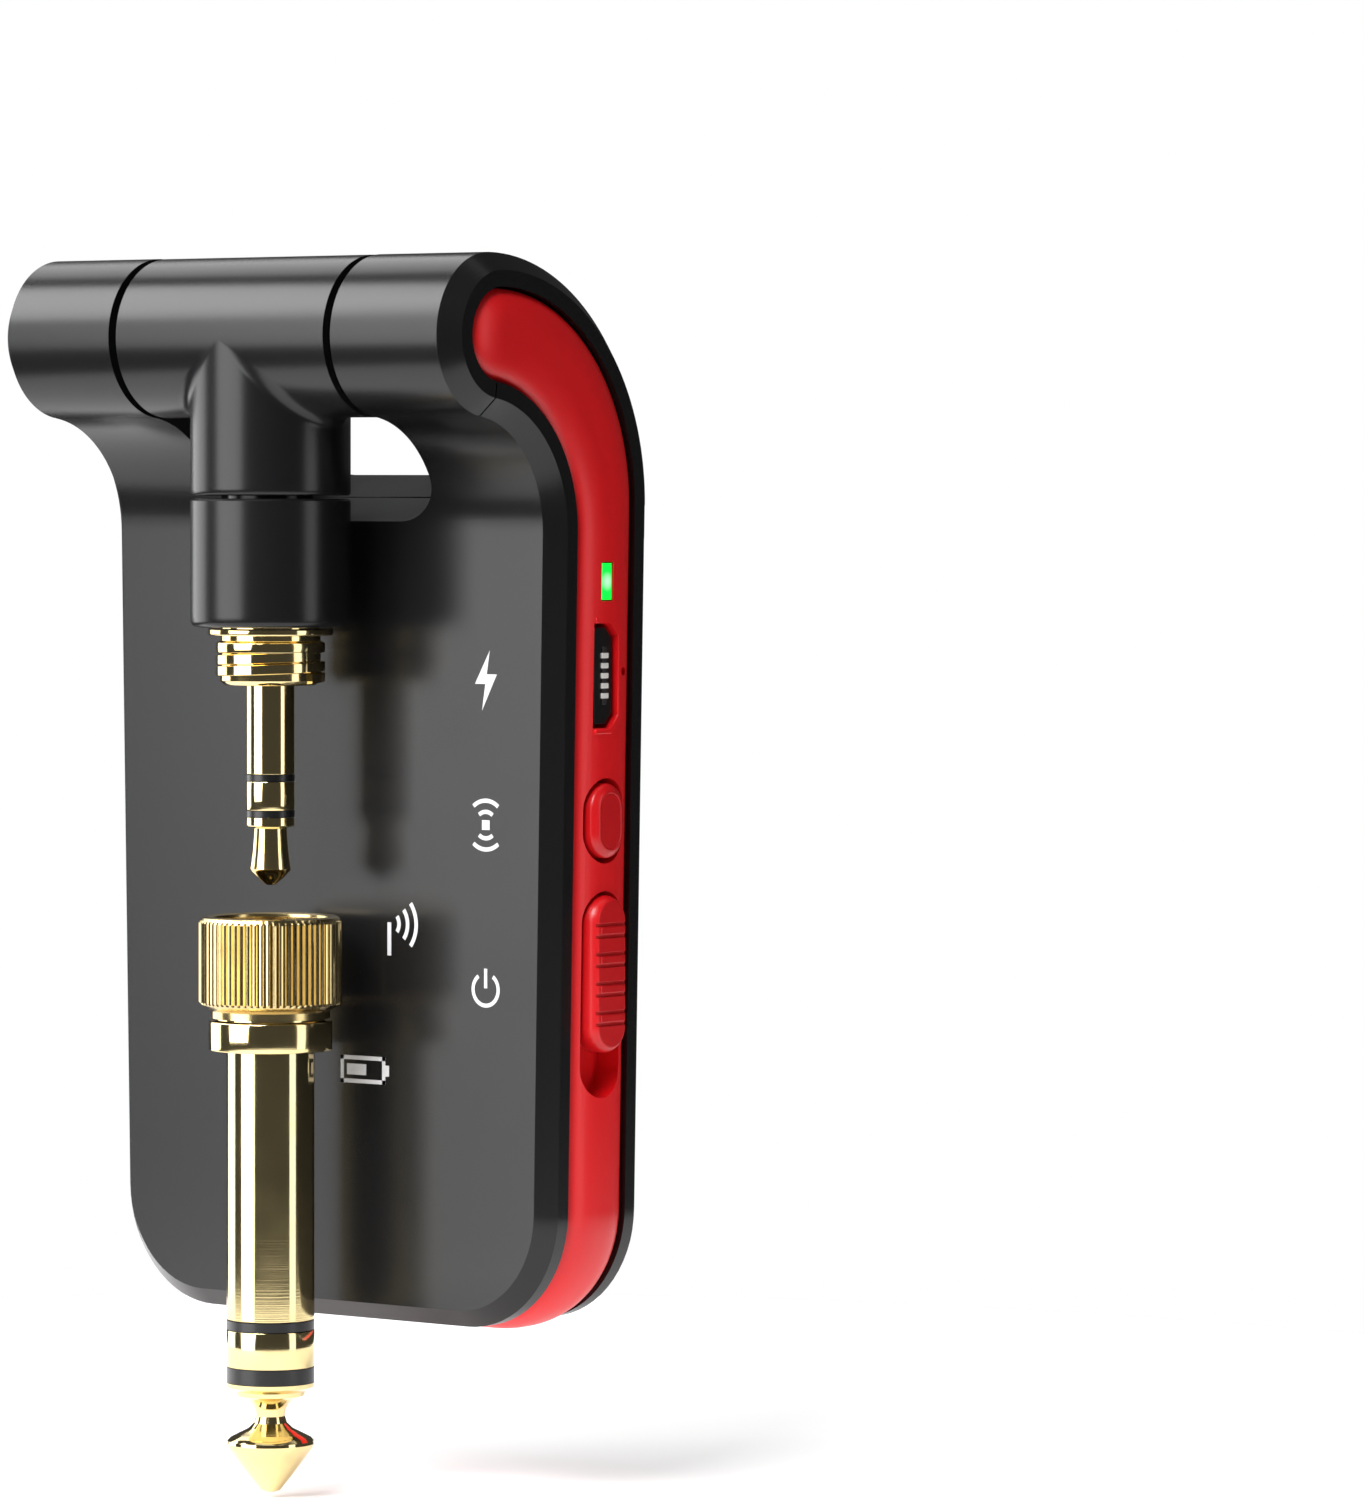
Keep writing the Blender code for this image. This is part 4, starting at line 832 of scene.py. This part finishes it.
def crown_top(piece, steps):
    """Inset the face furthest to the right again and again, by steps of (inwards, up)."""
    flat = [f for f in piece.data.polygons if f.normal.x > 0.9]
    choose(piece, "FACE", [max(flat, key=lambda f: (round(f.center.x, 7), f.area))])
    for run, rise in steps:
        bpy.ops.mesh.inset(thickness=run * MM, depth=rise * MM)
    bpy.ops.object.mode_set(mode="OBJECT")


base_x = crown_at(BUTTON.z) - 2.4
button = pull(outline("pair_button_key", *stadium(base_x, (KEY_Y, BUTTON.z), 3.7, 5.4, 20)), x=2.35)
crown_top(button, ((0.10, 0.22), (0.38, 0.28), (0.16, 0.05), (0.10, -0.06), (0.10, 0.03)))
soften(button, 0.05, 2, 30)
# the button's darker red is painted shade
finished(button, RED_KEYS_PAINTED_SHADE, "pair_button", ["pair_button"], 40)

# %% [markdown]
# The slider's knob fills its recess, slopes down at both ends and carries four grip ridges, each one
# a bar with a groove cut on either side of it. A fork under the knob takes the switch's lever.

# %% Slider
base_x = crown_at(KNOB.z) - 1.0
knob = pull(outline("power_slider_knob", *stadium(base_x, (KEY_Y, KNOB.z), 3.8, 11.3, 20)), x=1.15)
crown_top(knob, ((0.10, 0.30), (0.24, 0.31), (0.18, 0.03)))
knob_top = base_x + 1.79
for i in range(4):
    z = KNOB.z + 2.1 * (1.5 - i)
    for shift in (-0.42, 0.42):
        notch = bar("groove", (knob_top - 0.2, KEY_Y - 3, z + shift - 0.13),
                    (knob_top + 1, KEY_Y + 3, z + shift + 0.13))
        cut(knob, notch)
    ridge = bar("ridge", (knob_top - 0.4, KEY_Y - 1.28, z - 0.22),
                (knob_top + 0.06, KEY_Y + 1.28, z + 0.22))
    cut(knob, ridge, "UNION")
fork = bar("fork", (base_x - 1.6, KEY_Y - 1.0, KNOB.z - 1.3), (base_x + 0.4, KEY_Y + 1.0, KNOB.z + 1.3))
cut(knob, fork, "UNION")
cut(knob, bar("fork_slot", (base_x - 3, KEY_Y - 2, KNOB.z - 0.8),
              (base_x - 0.2, KEY_Y + 2, KNOB.z + 0.8)))
soften(knob, 0.06, 2, 40)
# the slider's darker red is painted shade
finished(knob, RED_KEYS_PAINTED_SHADE, "power_slider", ["power_slider"], 35)

# %% [markdown]
# ## Port and light
#
# The charging socket is a dark shell with a black tongue that carries five tinned contacts, drawn in a
# bright non-metal white: painted glint.
# The light is a small clear window.

# %% Socket, tongue, contacts, window
back = low_of("usb_socket").x
front = crown_at(PORT.z) - 0.3
socket = pull(outline("charging_socket", *port_shape(back, -0.3)), x=front - back)
cut(socket, pull(outline("socket_hole", *port_shape(back + 0.3, -0.6)), x=5))
soften(socket, 0.05, 2, 40)
# black nylon in place of the socket's steel: painted shade inside the port
finished(socket, NYLON, "casing", ["usb_socket"], slot="steel")
low, high = low_of("usb_tongue"), high_of("usb_tongue")
high.x = front + 0.1
tongue = bar("charging_tongue", low, high)
soften(tongue, 0.08, 2)
finished(tongue, CHIP, "casing", ["usb_tongue"])
# the contacts' bright white is painted glint
for i in range(5):
    z = (low.z + high.z) / 2 + 0.72 * (i - 2)
    pin = bar("contact_%d" % (i + 1), (low.x + 0.4, low.y - 0.12, z - 0.19),
              (high.x + 0.06, high.y + 0.12, z + 0.19))
    soften(pin, 0.03, 1)
    finished(pin, CONTACTS_PAINTED_GLINT, "casing")
low, high = low_of("light_pipe"), high_of("light_pipe")
lens = bar("light_window", low, high)
crown_top(lens, ((0.12, 0.06),))
finished(lens, WINDOW, "casing", ["light_pipe"])

# %% [markdown]
# ## The knuckle and its arm
#
# The knuckle is a turned sleeve between the two fixed barrels. The arm grows out of it: two round
# bars of the same thickness that meet in a V, with a small fillet. Each point of the arm's upper edge
# is laid on the barrel's surface, where a bar of that radius meets it, and a curve of three control
# points carries the flank over into the barrel.

# %% Knuckle
SKIN = BARREL - 0.02
knuckle = turned("hinge_knuckle_sleeve", [(4.0, -9.7), (SKIN, -9.7), (SKIN, 9.7), (4.0, 9.7)], "X", 128)
cut(knuckle, turned("lead_way", [(0, -9), (3.4, -9), (3.4, 0), (0, 0)], "Z", 48))
soften(knuckle, 0.36, 4, 50)

# %% Arm
ARM = 5.77
ARM_FOOT = high_of("arm_collar").z - 2.4 + 0.19
FILLET = 1.0


def on_barrel(x, y, z, radius):
    """Move a point straight out or in until it lies on a barrel of a radius."""
    length = math.hypot(y, z)
    return Vector((x, y * radius / length, z * radius / length))


def arm_rows(sides):
    """Rings of points up the arm: foot, flank, fillet, then inside the barrel's wall and back down."""
    rings = [[] for _ in range(15)]
    for i in range(sides):
        a = math.tau * i / sides
        outward = Vector((math.cos(a), math.sin(a), 0))
        p = outward * ARM
        meet = Vector((p.x, p.y, -math.sqrt(SKIN ** 2 - p.y ** 2)))
        normal = Vector((0, meet.y, meet.z)) / SKIN
        away = outward - normal * outward.dot(normal)
        size = FILLET * min(1.0, away.length * 1.3)
        low = meet - Vector((0, 0, size))
        high = on_barrel(*(meet + away.normalized() * size), SKIN - 0.004) if size > 0.01 else meet
        q = outward * (ARM - 0.16)
        column = [Vector((q.x, q.y, ARM_FOOT)), Vector((p.x, p.y, ARM_FOOT + 0.16)),
                  Vector((p.x, p.y, ARM_FOOT + 0.5))]
        column += [column[2].lerp(low, t) for t in (0.5, 1.0)]
        for k in range(1, 7):
            t = k / 6
            column.append((1 - t) ** 2 * low + 2 * t * (1 - t) * meet + t * t * high)
        column.append(on_barrel(high.x, high.y, high.z, 5.0))
        n = outward * 3.4
        column.append(on_barrel(n.x, n.y, -math.sqrt(25 - n.y ** 2), 5.0))
        column.append(Vector((n.x, n.y, ARM_FOOT + 0.5)))
        column.append(Vector((n.x, n.y, ARM_FOOT)))
        for ring, point in zip(rings, column):
            ring.append(point)
    return rings


arm = lofted("plug_arm_tube", arm_rows(144), True)
finished(knuckle, ABS_BLACK, "plug_arm", ["hinge_knuckle"], 30)
finished(arm, ABS_BLACK, "plug_arm", (), 50)

# %% [markdown]
# ## The collar
#
# The lower half of the arm is a separate turned sleeve that holds the plug. A fine groove parts it
# from the arm, and its bottom edge is rounded.

# %% Collar
COLLAR_LOW = low_of("arm_collar").z
collar_top = ARM_FOOT - 0.22
profile = [(3.6, COLLAR_LOW), (ARM - 0.55, COLLAR_LOW), (ARM - 0.26, COLLAR_LOW + 0.06),
           (ARM - 0.1, COLLAR_LOW + 0.2), (ARM - 0.03, COLLAR_LOW + 0.42), (ARM, COLLAR_LOW + 0.8),
           (ARM, collar_top - 0.16), (ARM - 0.16, collar_top), (3.1, collar_top), (3.1, collar_top + 2.3),
           (2.3, collar_top + 2.3), (2.3, COLLAR_LOW + 7.3), (3.6, COLLAR_LOW + 7.3)]
collar = turned("arm_collar_sleeve", profile, "Z", 144)
finished(collar, ABS_BLACK, "plug_arm", ["arm_collar"], 40)

# %% [markdown]
# ## The small plug
#
# A 3.5 mm plug is a stack on one axis: washer, threaded stub, sleeve, black ring, ring, black ring and
# tip. Each is turned from its profile. The stub's thread is one ridge that a Screw modifier winds
# round it.

# %% Washer, stub and sleeve
low, high = low_of("plug_washer"), high_of("plug_washer")
washer = tube("stub_washer", 3.5, 4.5, low.z, high.z, 96)
soften(washer, 0.12, 3)
finished(washer, GOLD, "plug_arm", ["plug_washer"])

SMALL = 1.75       # radius of the small plug
STUB_LOW = -24.99
SLEEVE_LOW = low_of("plug_sleeve").z
stub_top = low.z - 0.1
profile = [(1.15, COLLAR_LOW + 7), (1.15, SLEEVE_LOW), (SMALL, SLEEVE_LOW), (SMALL, STUB_LOW + 0.1),
           (1.86, STUB_LOW), (3.3, STUB_LOW), (3.62, STUB_LOW + 0.3), (3.62, STUB_LOW + 2.3),
           (3.92, STUB_LOW + 2.36), (3.92, stub_top - 0.42), (3.6, stub_top - 0.3),
           (3.4, COLLAR_LOW + 7)]
sleeve = turned("stub_and_sleeve", profile, "Z", 96)
soften(sleeve, 0.05, 2, 30)
finished(sleeve, GOLD, "plug_arm", ["plug_sleeve"])


def thread(name, radius, depth, pitch, turns, start_z, steps=72):
    """One ridge wound round a core; it starts and ends inside the core."""
    shape = ((-0.25, -0.485), (0.0, -0.47), (0.8 * depth, -0.44), (depth, -0.39), (depth, 0.39),
             (0.8 * depth, 0.44), (0.0, 0.47), (-0.25, 0.485))
    corners = [(radius + r, 0, start_z + z * pitch) for r, z in shape]
    ridge = outline(name, corners[0], corners[1:] + [corners[0]], fill=False)
    bpy.ops.object.mode_set(mode="OBJECT")
    axis = bpy.data.objects.new("axis", None)
    axis.location = at(0, 0, 0)
    bpy.context.scene.collection.objects.link(axis)
    wind = ridge.modifiers.new("wind", "SCREW")
    wind.object = axis
    wind.angle = math.tau
    wind.steps = wind.render_steps = steps
    wind.screw_offset = pitch * MM
    wind.iterations = turns
    wind.use_merge_vertices = False
    apply(ridge, wind)
    bpy.data.objects.remove(axis)
    choose(ridge, "EDGE", [])
    bpy.ops.mesh.select_all(action="SELECT")
    bpy.ops.mesh.remove_doubles(threshold=0.0005 * MM)
    bpy.ops.mesh.fill_holes(sides=12)
    return outwards(ridge)


ridge = thread("stub_thread", 3.62, 0.31, 0.8, 2, STUB_LOW + 0.5)
low_z = min(v.co.z for v in ridge.data.vertices)
high_z = max(v.co.z for v in ridge.data.vertices)
print("thread from %.2f to %.2f mm" % ((low_z - HINGE.z) / MM, (high_z - HINGE.z) / MM))
finished(ridge, GOLD, "plug_arm")

# %% Black rings, ring and tip of the small plug
ring_1, ring_2 = STUB_LOW - 6.41, STUB_LOW - 9.01
tip_z = low_of("plug_tip").z
core_top = COLLAR_LOW + 8
profile = [(0.5, core_top), (0.5, ring_2 - 0.5), (1.74, ring_2 - 0.5), (1.74, ring_2 - 0.04),
           (1.05, ring_2 - 0.04), (1.05, ring_1 - 0.5), (1.74, ring_1 - 0.5), (1.74, ring_1 - 0.04),
           (1.05, ring_1 - 0.04), (1.05, core_top)]
rings = turned("small_plug_rings", profile, "Z", 64)
finished(rings, NYLON, "plug_arm", ["plug_insulator"])
ring = tube("small_plug_ring", 1.15, SMALL, ring_2, ring_1 - 0.54, 96)
soften(ring, 0.05, 2)
finished(ring, GOLD, "plug_arm", ["plug_ring"])
start = ring_2 - 0.54
profile = [(0, tip_z), (0.35, tip_z + 0.05), (0.9, tip_z + 0.5), (1.42, tip_z + 1.02),
           (1.5, tip_z + 1.2), (1.44, tip_z + 1.5), (1.3, tip_z + 2.6), (1.2, start - 0.95),
           (1.2, start - 0.78), (1.36, start - 0.7), (1.7, start - 0.62), (SMALL, start - 0.55),
           (SMALL, start), (0.4, start), (0.4, core_top + 0.8), (0, core_top + 0.8)]
finished(turned("small_plug_tip", profile, "Z", 96), GOLD, "plug_arm", ["plug_tip"], 28)

# %% [markdown]
# ## The adapter
#
# The knurled nut is a ring with straight ridges. Each ridge is four columns wide: the mesh is made
# row by row, and its columns lie further in or out as the wave of the ridges says.

# %% Knurled nut
NUT_TOP = high_of("adapter_knurled_sleeve").z
NUT_LOW = low_of("adapter_knurled_sleeve").z
NUT = 5.16      # radius
BORE = 4.2      # radius of the bore
RIDGES = 66
KNURL = 0.26    # height of a ridge
# each row is a radius, a height and how much of the ridges shows there
rows = [(BORE, NUT_TOP - 0.35, 0), (BORE + 0.06, NUT_TOP - 0.12, 0), (BORE + 0.3, NUT_TOP, 0),
        (NUT - 0.42, NUT_TOP, 0), (NUT - 0.22, NUT_TOP - 0.1, 0), (NUT - 0.15, NUT_TOP - 0.3, 0.15),
        (NUT - 0.15, NUT_TOP - 0.46, 1), (NUT - 0.15, NUT_LOW + 1.16, 1),
        (NUT - 0.15, NUT_LOW + 1.0, 0.15), (NUT - 0.26, NUT_LOW + 0.9, 0),
        (4.45, NUT_LOW + 0.62, 0), (4.3, NUT_LOW + 0.5, 0), (4.3, NUT_LOW, 0), (BORE, NUT_LOW, 0)]
columns = 4 * RIDGES
rings = []
for radius, z, ridged in rows:
    rings.append([])
    for i in range(columns):
        r = radius + (KNURL * (0.0, 0.8, 1.0, 0.8)[i % 4] - 0.11) * ridged
        a = math.tau * i / columns
        rings[-1].append((r * math.cos(a), r * math.sin(a), z))
nut = lofted("adapter_nut", rings, True)
# the knurl's darker gold is painted shade
finished(nut, KNURL_GOLD_PAINTED_SHADE, "adapter", ["adapter_knurled_sleeve"], 32)

# %% [markdown]
# The barrel has a polished flange, and below it the long round body. The black liner inside takes the
# small plug.

# %% Barrel, liner, rings and tip
BIG = 3.175
spigot = high_of("adapter_barrel").z
flange_top = NUT_LOW - 0.22
flange_low = flange_top - 2.12
end = low_of("adapter_barrel").z
liner_low = low_of("adapter_liner").z
profile = [(2.75, spigot), (2.75, liner_low - 0.3), (1.25, liner_low - 0.3), (1.25, end), (BIG, end),
           (BIG, flange_low + 0.02), (4.45, flange_low), (4.45, flange_top), (3.9, flange_top),
           (3.9, spigot)]
barrel = turned("adapter_body", profile, "Z", 128)
soften(barrel, 0.1, 3, 50)
finished(barrel, GOLD, "adapter", ["adapter_barrel"])
liner = tube("adapter_liner_tube", 2.05, 2.65, liner_low, spigot - 0.3, 64)
soften(liner, 0.1, 2)
finished(liner, NYLON, "adapter", ["adapter_liner"])
dark = tube("adapter_throat", 2.75, 3.9, spigot, spigot + 0.06, 64)
finished(dark, NYLON, "adapter")

first_low = end - 0.7
second = flange_low - 22.88
edge = BIG - 0.01
profile = [(0.7, liner_low - 0.6), (0.7, second - 1.13), (edge, second - 1.13), (edge, second - 0.04),
           (1.15, second - 0.04), (1.15, first_low), (edge, first_low), (edge, end - 0.04),
           (1.15, end - 0.04), (1.15, liner_low - 0.6)]
rings = turned("adapter_rings", profile, "Z", 96)
finished(rings, NYLON, "adapter", ["adapter_insulator"])
ring = tube("adapter_contact_ring", 1.25, BIG, second, first_low - 0.04, 128)
soften(ring, 0.06, 2)
finished(ring, GOLD, "adapter", ["adapter_ring"])
tip = low_of("adapter_tip").z
start = second - 1.17
point = [(0, 0), (0.45, 0.02), (0.7, 0.12), (1.6, 1.2), (2.5, 2.4), (2.95, 3.05), (3.12, 3.3),
         (3.17, 3.5), (3.12, 3.72), (2.9, 3.95), (2.3, 4.25), (1.6, 4.6), (1.2, 5.0), (1.04, 5.5),
         (1.12, 6.0), (1.4, 6.45), (2.0, 6.85)]
profile = [(r, tip + z) for r, z in point]
profile += [(2.45, start - 0.95), (2.55, start - 0.62), (2.9, start - 0.42), (BIG, start - 0.3),
            (BIG, start), (0.6, start), (0.6, liner_low - 0.9), (0, liner_low - 0.9)]
finished(turned("adapter_point", profile, "Z", 128), GOLD, "adapter", ["adapter_tip"], 26)

# %% [markdown]
# ## Printed signs
#
# The face carries a few small pad-printed signs beside the controls: a bolt by the charging port, two
# linked waves by the pairing button and a power sign by the slider. Print is a few hundredths of a
# millimetre thick. Each sign is an outline filled and pulled by that much.

# %% Signs
PRINT = 0.03


def printed(name, strokes):
    """Join flat outlines on the face into one printed sign."""
    parts = []
    for points in strokes:
        corners = [(x, FACE_Y + 0.01, z) for x, z in points]
        parts.append(pull(outline(name, corners[0], corners[1:] + [corners[0]]), y=-PRINT - 0.01))
    bpy.ops.object.select_all(action="DESELECT")
    for part in parts:
        part.select_set(True)
    bpy.context.view_layer.objects.active = parts[0]
    if len(parts) > 1:
        bpy.ops.object.join()
    parts[0].name = parts[0].data.name = name
    return finished(parts[0], INK, "casing")


def bow(cx, cz, radius, wide, start, stop, count=24):
    """A curved stroke of a width round a centre."""
    turn = [math.radians(start + (stop - start) * i / count) for i in range(count + 1)]
    stroke = [(radius + wide / 2, a) for a in turn] + [(radius - wide / 2, a) for a in turn[::-1]]
    return [(cx + r * math.cos(a), cz + r * math.sin(a)) for r, a in stroke]


def bar_mark(x0, z0, x1, z1):
    """A straight stroke."""
    return [(x0, z0), (x1, z0), (x1, z1), (x0, z1)]


SIGN_X = 14.7    # the column of signs beside the controls
printed("bolt_sign", [[(SIGN_X + 0.35, -22.4), (SIGN_X - 1.0, -24.8), (SIGN_X - 0.05, -24.8),
                       (SIGN_X - 0.35, -26.7), (SIGN_X + 1.0, -24.1), (SIGN_X + 0.08, -24.1)]])
waves = [bar_mark(SIGN_X - 0.35, -34.55, SIGN_X + 0.35, -35.25)]
for radius in (0.95, 1.75):
    waves.append(bow(SIGN_X, -34.9, radius, 0.3, 50, 130))
    waves.append(bow(SIGN_X, -34.9, radius, 0.3, 230, 310))
printed("pairing_sign", waves)
printed("power_sign", [bow(SIGN_X, -46.7, 1.15, 0.28, 125, 415, 40),
                       bar_mark(SIGN_X - 0.14, -46.6, SIGN_X + 0.14, -45.2)])
radio = [bar_mark(5.6, -44.6, 5.95, -42.2)]
for radius in (0.9, 1.7, 2.5):
    radio.append(bow(5.78, -42.3, radius, 0.32, -38, 38))
printed("radio_sign", radio)
printed("battery_sign", [bar_mark(*box) for box in (
    (1.2, -52.0, 5.4, -52.3), (1.2, -53.7, 5.4, -54.0), (1.2, -54.0, 1.5, -52.0),
    (5.1, -54.0, 5.4, -52.0), (5.4, -53.4, 5.75, -52.6), (1.8, -53.4, 3.6, -52.6))])

# %% [markdown]
# ## Inner parts
#
# What the casing hides keeps its CAD shape and gets a finish of its own, so that it is right when the
# parts are taken apart.

# %% Finishes of the inner parts
INNER = {BOARD: ["main_board"], CHIP: ["codec_chip", "charge_chip", "pair_switch_body"],
         STEEL: ["radio_shield", "power_switch_body"] + ["board_screw_%d" % i for i in (1, 2, 3, 4)]
         + ["hinge_%s_%s" % (kind, side) for kind in ("shaft", "clip", "washer")
            for side in ("left", "right")],
         RUBBER: ["friction_ring_left", "friction_ring_right"],
         SLEEVE: ["plug_lead_arm", "plug_lead_body", "battery_lead"], FOIL: ["battery"],
         FOAM: ["battery_pad"], NYLON: ["pair_switch_plunger", "power_switch_lever"],
         GOLD: ["antenna"], WINDOW: ["status_led"]}
for material, names in INNER.items():
    for name in names:
        for slot in frame["nodes"][name].material_slots:
            slot.material = material
print("inner parts finished:", sum(len(names) for names in INNER.values()))

# %% [markdown]
# ## Floor
#
# The object hangs just over a plain white floor, which is a sheet of matt paper that glows a little.

# %% Floor
PAPER, tree, shader = new_material("matt_white_paper", Base_Color=srgb("DEDEDE"), Roughness=0.95,
                                   Specular_IOR_Level=0.1, Emission_Color=(1, 1, 1, 1),
                                   Emission_Strength=0.35)
fibres = put(tree, "ShaderNodeTexNoise", Scale=900.0, Detail=3.0)
relief = put(tree, "ShaderNodeBump", [("Height", fibres.outputs["Fac"])], Strength=0.05,
             Distance=0.1 * MM)
tree.links.new(relief.outputs["Normal"], shader.inputs["Normal"])
bpy.ops.object.select_all(action="DESELECT")
bpy.ops.mesh.primitive_circle_add(vertices=96, radius=0.13, fill_type="NGON", location=(0, 0, -0.0004))
floor = bpy.context.object
floor.name = "floor"
bpy.ops.object.transform_apply(location=True, rotation=True, scale=True)
floor.data.materials.append(PAPER)

# %% [markdown]
# ## Camera and lights
#
# The camera is a long lens a little over half a metre away and looks down by about two degrees. Its
# aim is a little to the left of the object, so that the object stands in the left of the frame.
#
# Seven soft boxes light the object. The key at the left front is the large patch that the flat face
# and the barrels mirror. A strip at the right and one at the left edge draw the streaks on the gold
# and the band, and the four high ones lift the upper sides.

# %% Camera
camera = bpy.data.objects.new("camera", bpy.data.cameras.new("camera"))
camera.data.sensor_width = 36.0
camera.data.lens = 178.8
camera.data.clip_start = 0.01
camera.location = at(347.702, -409.572, -10.438)
yaw, pitch = math.radians(39.796), math.radians(2.359)
back = Vector((math.sin(yaw) * math.cos(pitch), -math.cos(yaw) * math.cos(pitch), math.sin(pitch)))
ahead = -back
right = ahead.cross(Vector((0, 0, 1))).normalized()
up = right.cross(ahead)
pan, tilt = 0.045876, 0.0053691   # radians, from looking straight at the middle of the hinge
ahead, right = (ahead * math.cos(pan) + right * math.sin(pan),
                right * math.cos(pan) - ahead * math.sin(pan))
ahead, up = (ahead * math.cos(tilt) + up * math.sin(tilt),
             up * math.cos(tilt) - ahead * math.sin(tilt))
camera.rotation_euler = Matrix((right, up, -ahead)).transposed().to_euler()
bpy.context.scene.collection.objects.link(camera)
bpy.context.scene.camera = camera

# %% Lights


def soft_box(name, place, aim, wide, tall, watts, tint=(1, 1, 1)):
    """A rectangular area light that faces a point."""
    light = bpy.data.lights.new(name, "AREA")
    light.shape = "RECTANGLE"
    light.size, light.size_y = wide, tall
    light.energy = watts
    light.color = tint
    lamp = bpy.data.objects.new(name, light)
    lamp.location = place
    lamp.rotation_euler = (Vector(aim) - Vector(place)).to_track_quat("-Z", "Y").to_euler()
    bpy.context.scene.collection.objects.link(lamp)
    return lamp


middle = Vector((0, 0, 0.05))


def around(degrees, distance, height):
    """A place round the object: degrees from the hinge's right-hand end, towards the cover."""
    a = math.radians(degrees)
    return (distance * math.cos(a), distance * math.sin(a), height)


soft_box("key_left_front", around(-112, 0.75, 0.31), middle, 0.62, 0.86, 7.4)
soft_box("strip_right", around(10, 0.75, 0.16), middle, 0.24, 0.7, 1.0)
soft_box("rim_left_back", around(-176, 0.75, 0.2), middle, 0.56, 0.7, 3.4)
soft_box("front_high", around(-84, 0.62, 0.62), middle, 0.4, 0.4, 8.0)
soft_box("left_high", around(-150, 0.6, 0.50), middle, 0.4, 0.4, 3.6)
soft_box("back_high", around(150, 0.6, 0.62), middle, 0.4, 0.4, 1.0)
soft_box("top", (0.0, 0.1, 1.1), middle, 0.8, 0.8, 1.6)

# %% [markdown]
# The room is white to the camera and dim to everything else, so that the polished metal mirrors the
# soft boxes and the dark between them, as it does in a studio with black flags.

# %% Room
world = bpy.data.worlds.new("studio")
bpy.context.scene.world = world
world.use_nodes = True
tree = world.node_tree
dim = tree.nodes["Background"]
dim.inputs["Color"].default_value = (1, 1, 1, 1)
dim.inputs["Strength"].default_value = 0.06
white = put(tree, "ShaderNodeBackground", Color=(1, 1, 1, 1), Strength=1.0)
seen = put(tree, "ShaderNodeLightPath")
both = put(tree, "ShaderNodeMixShader", [(0, seen.outputs["Is Camera Ray"]), (1, dim.outputs[0]),
                                         (2, white.outputs[0])])
tree.links.new(both.outputs[0], tree.nodes["World Output"].inputs["Surface"])
bpy.context.scene.view_settings.view_transform = "Standard"
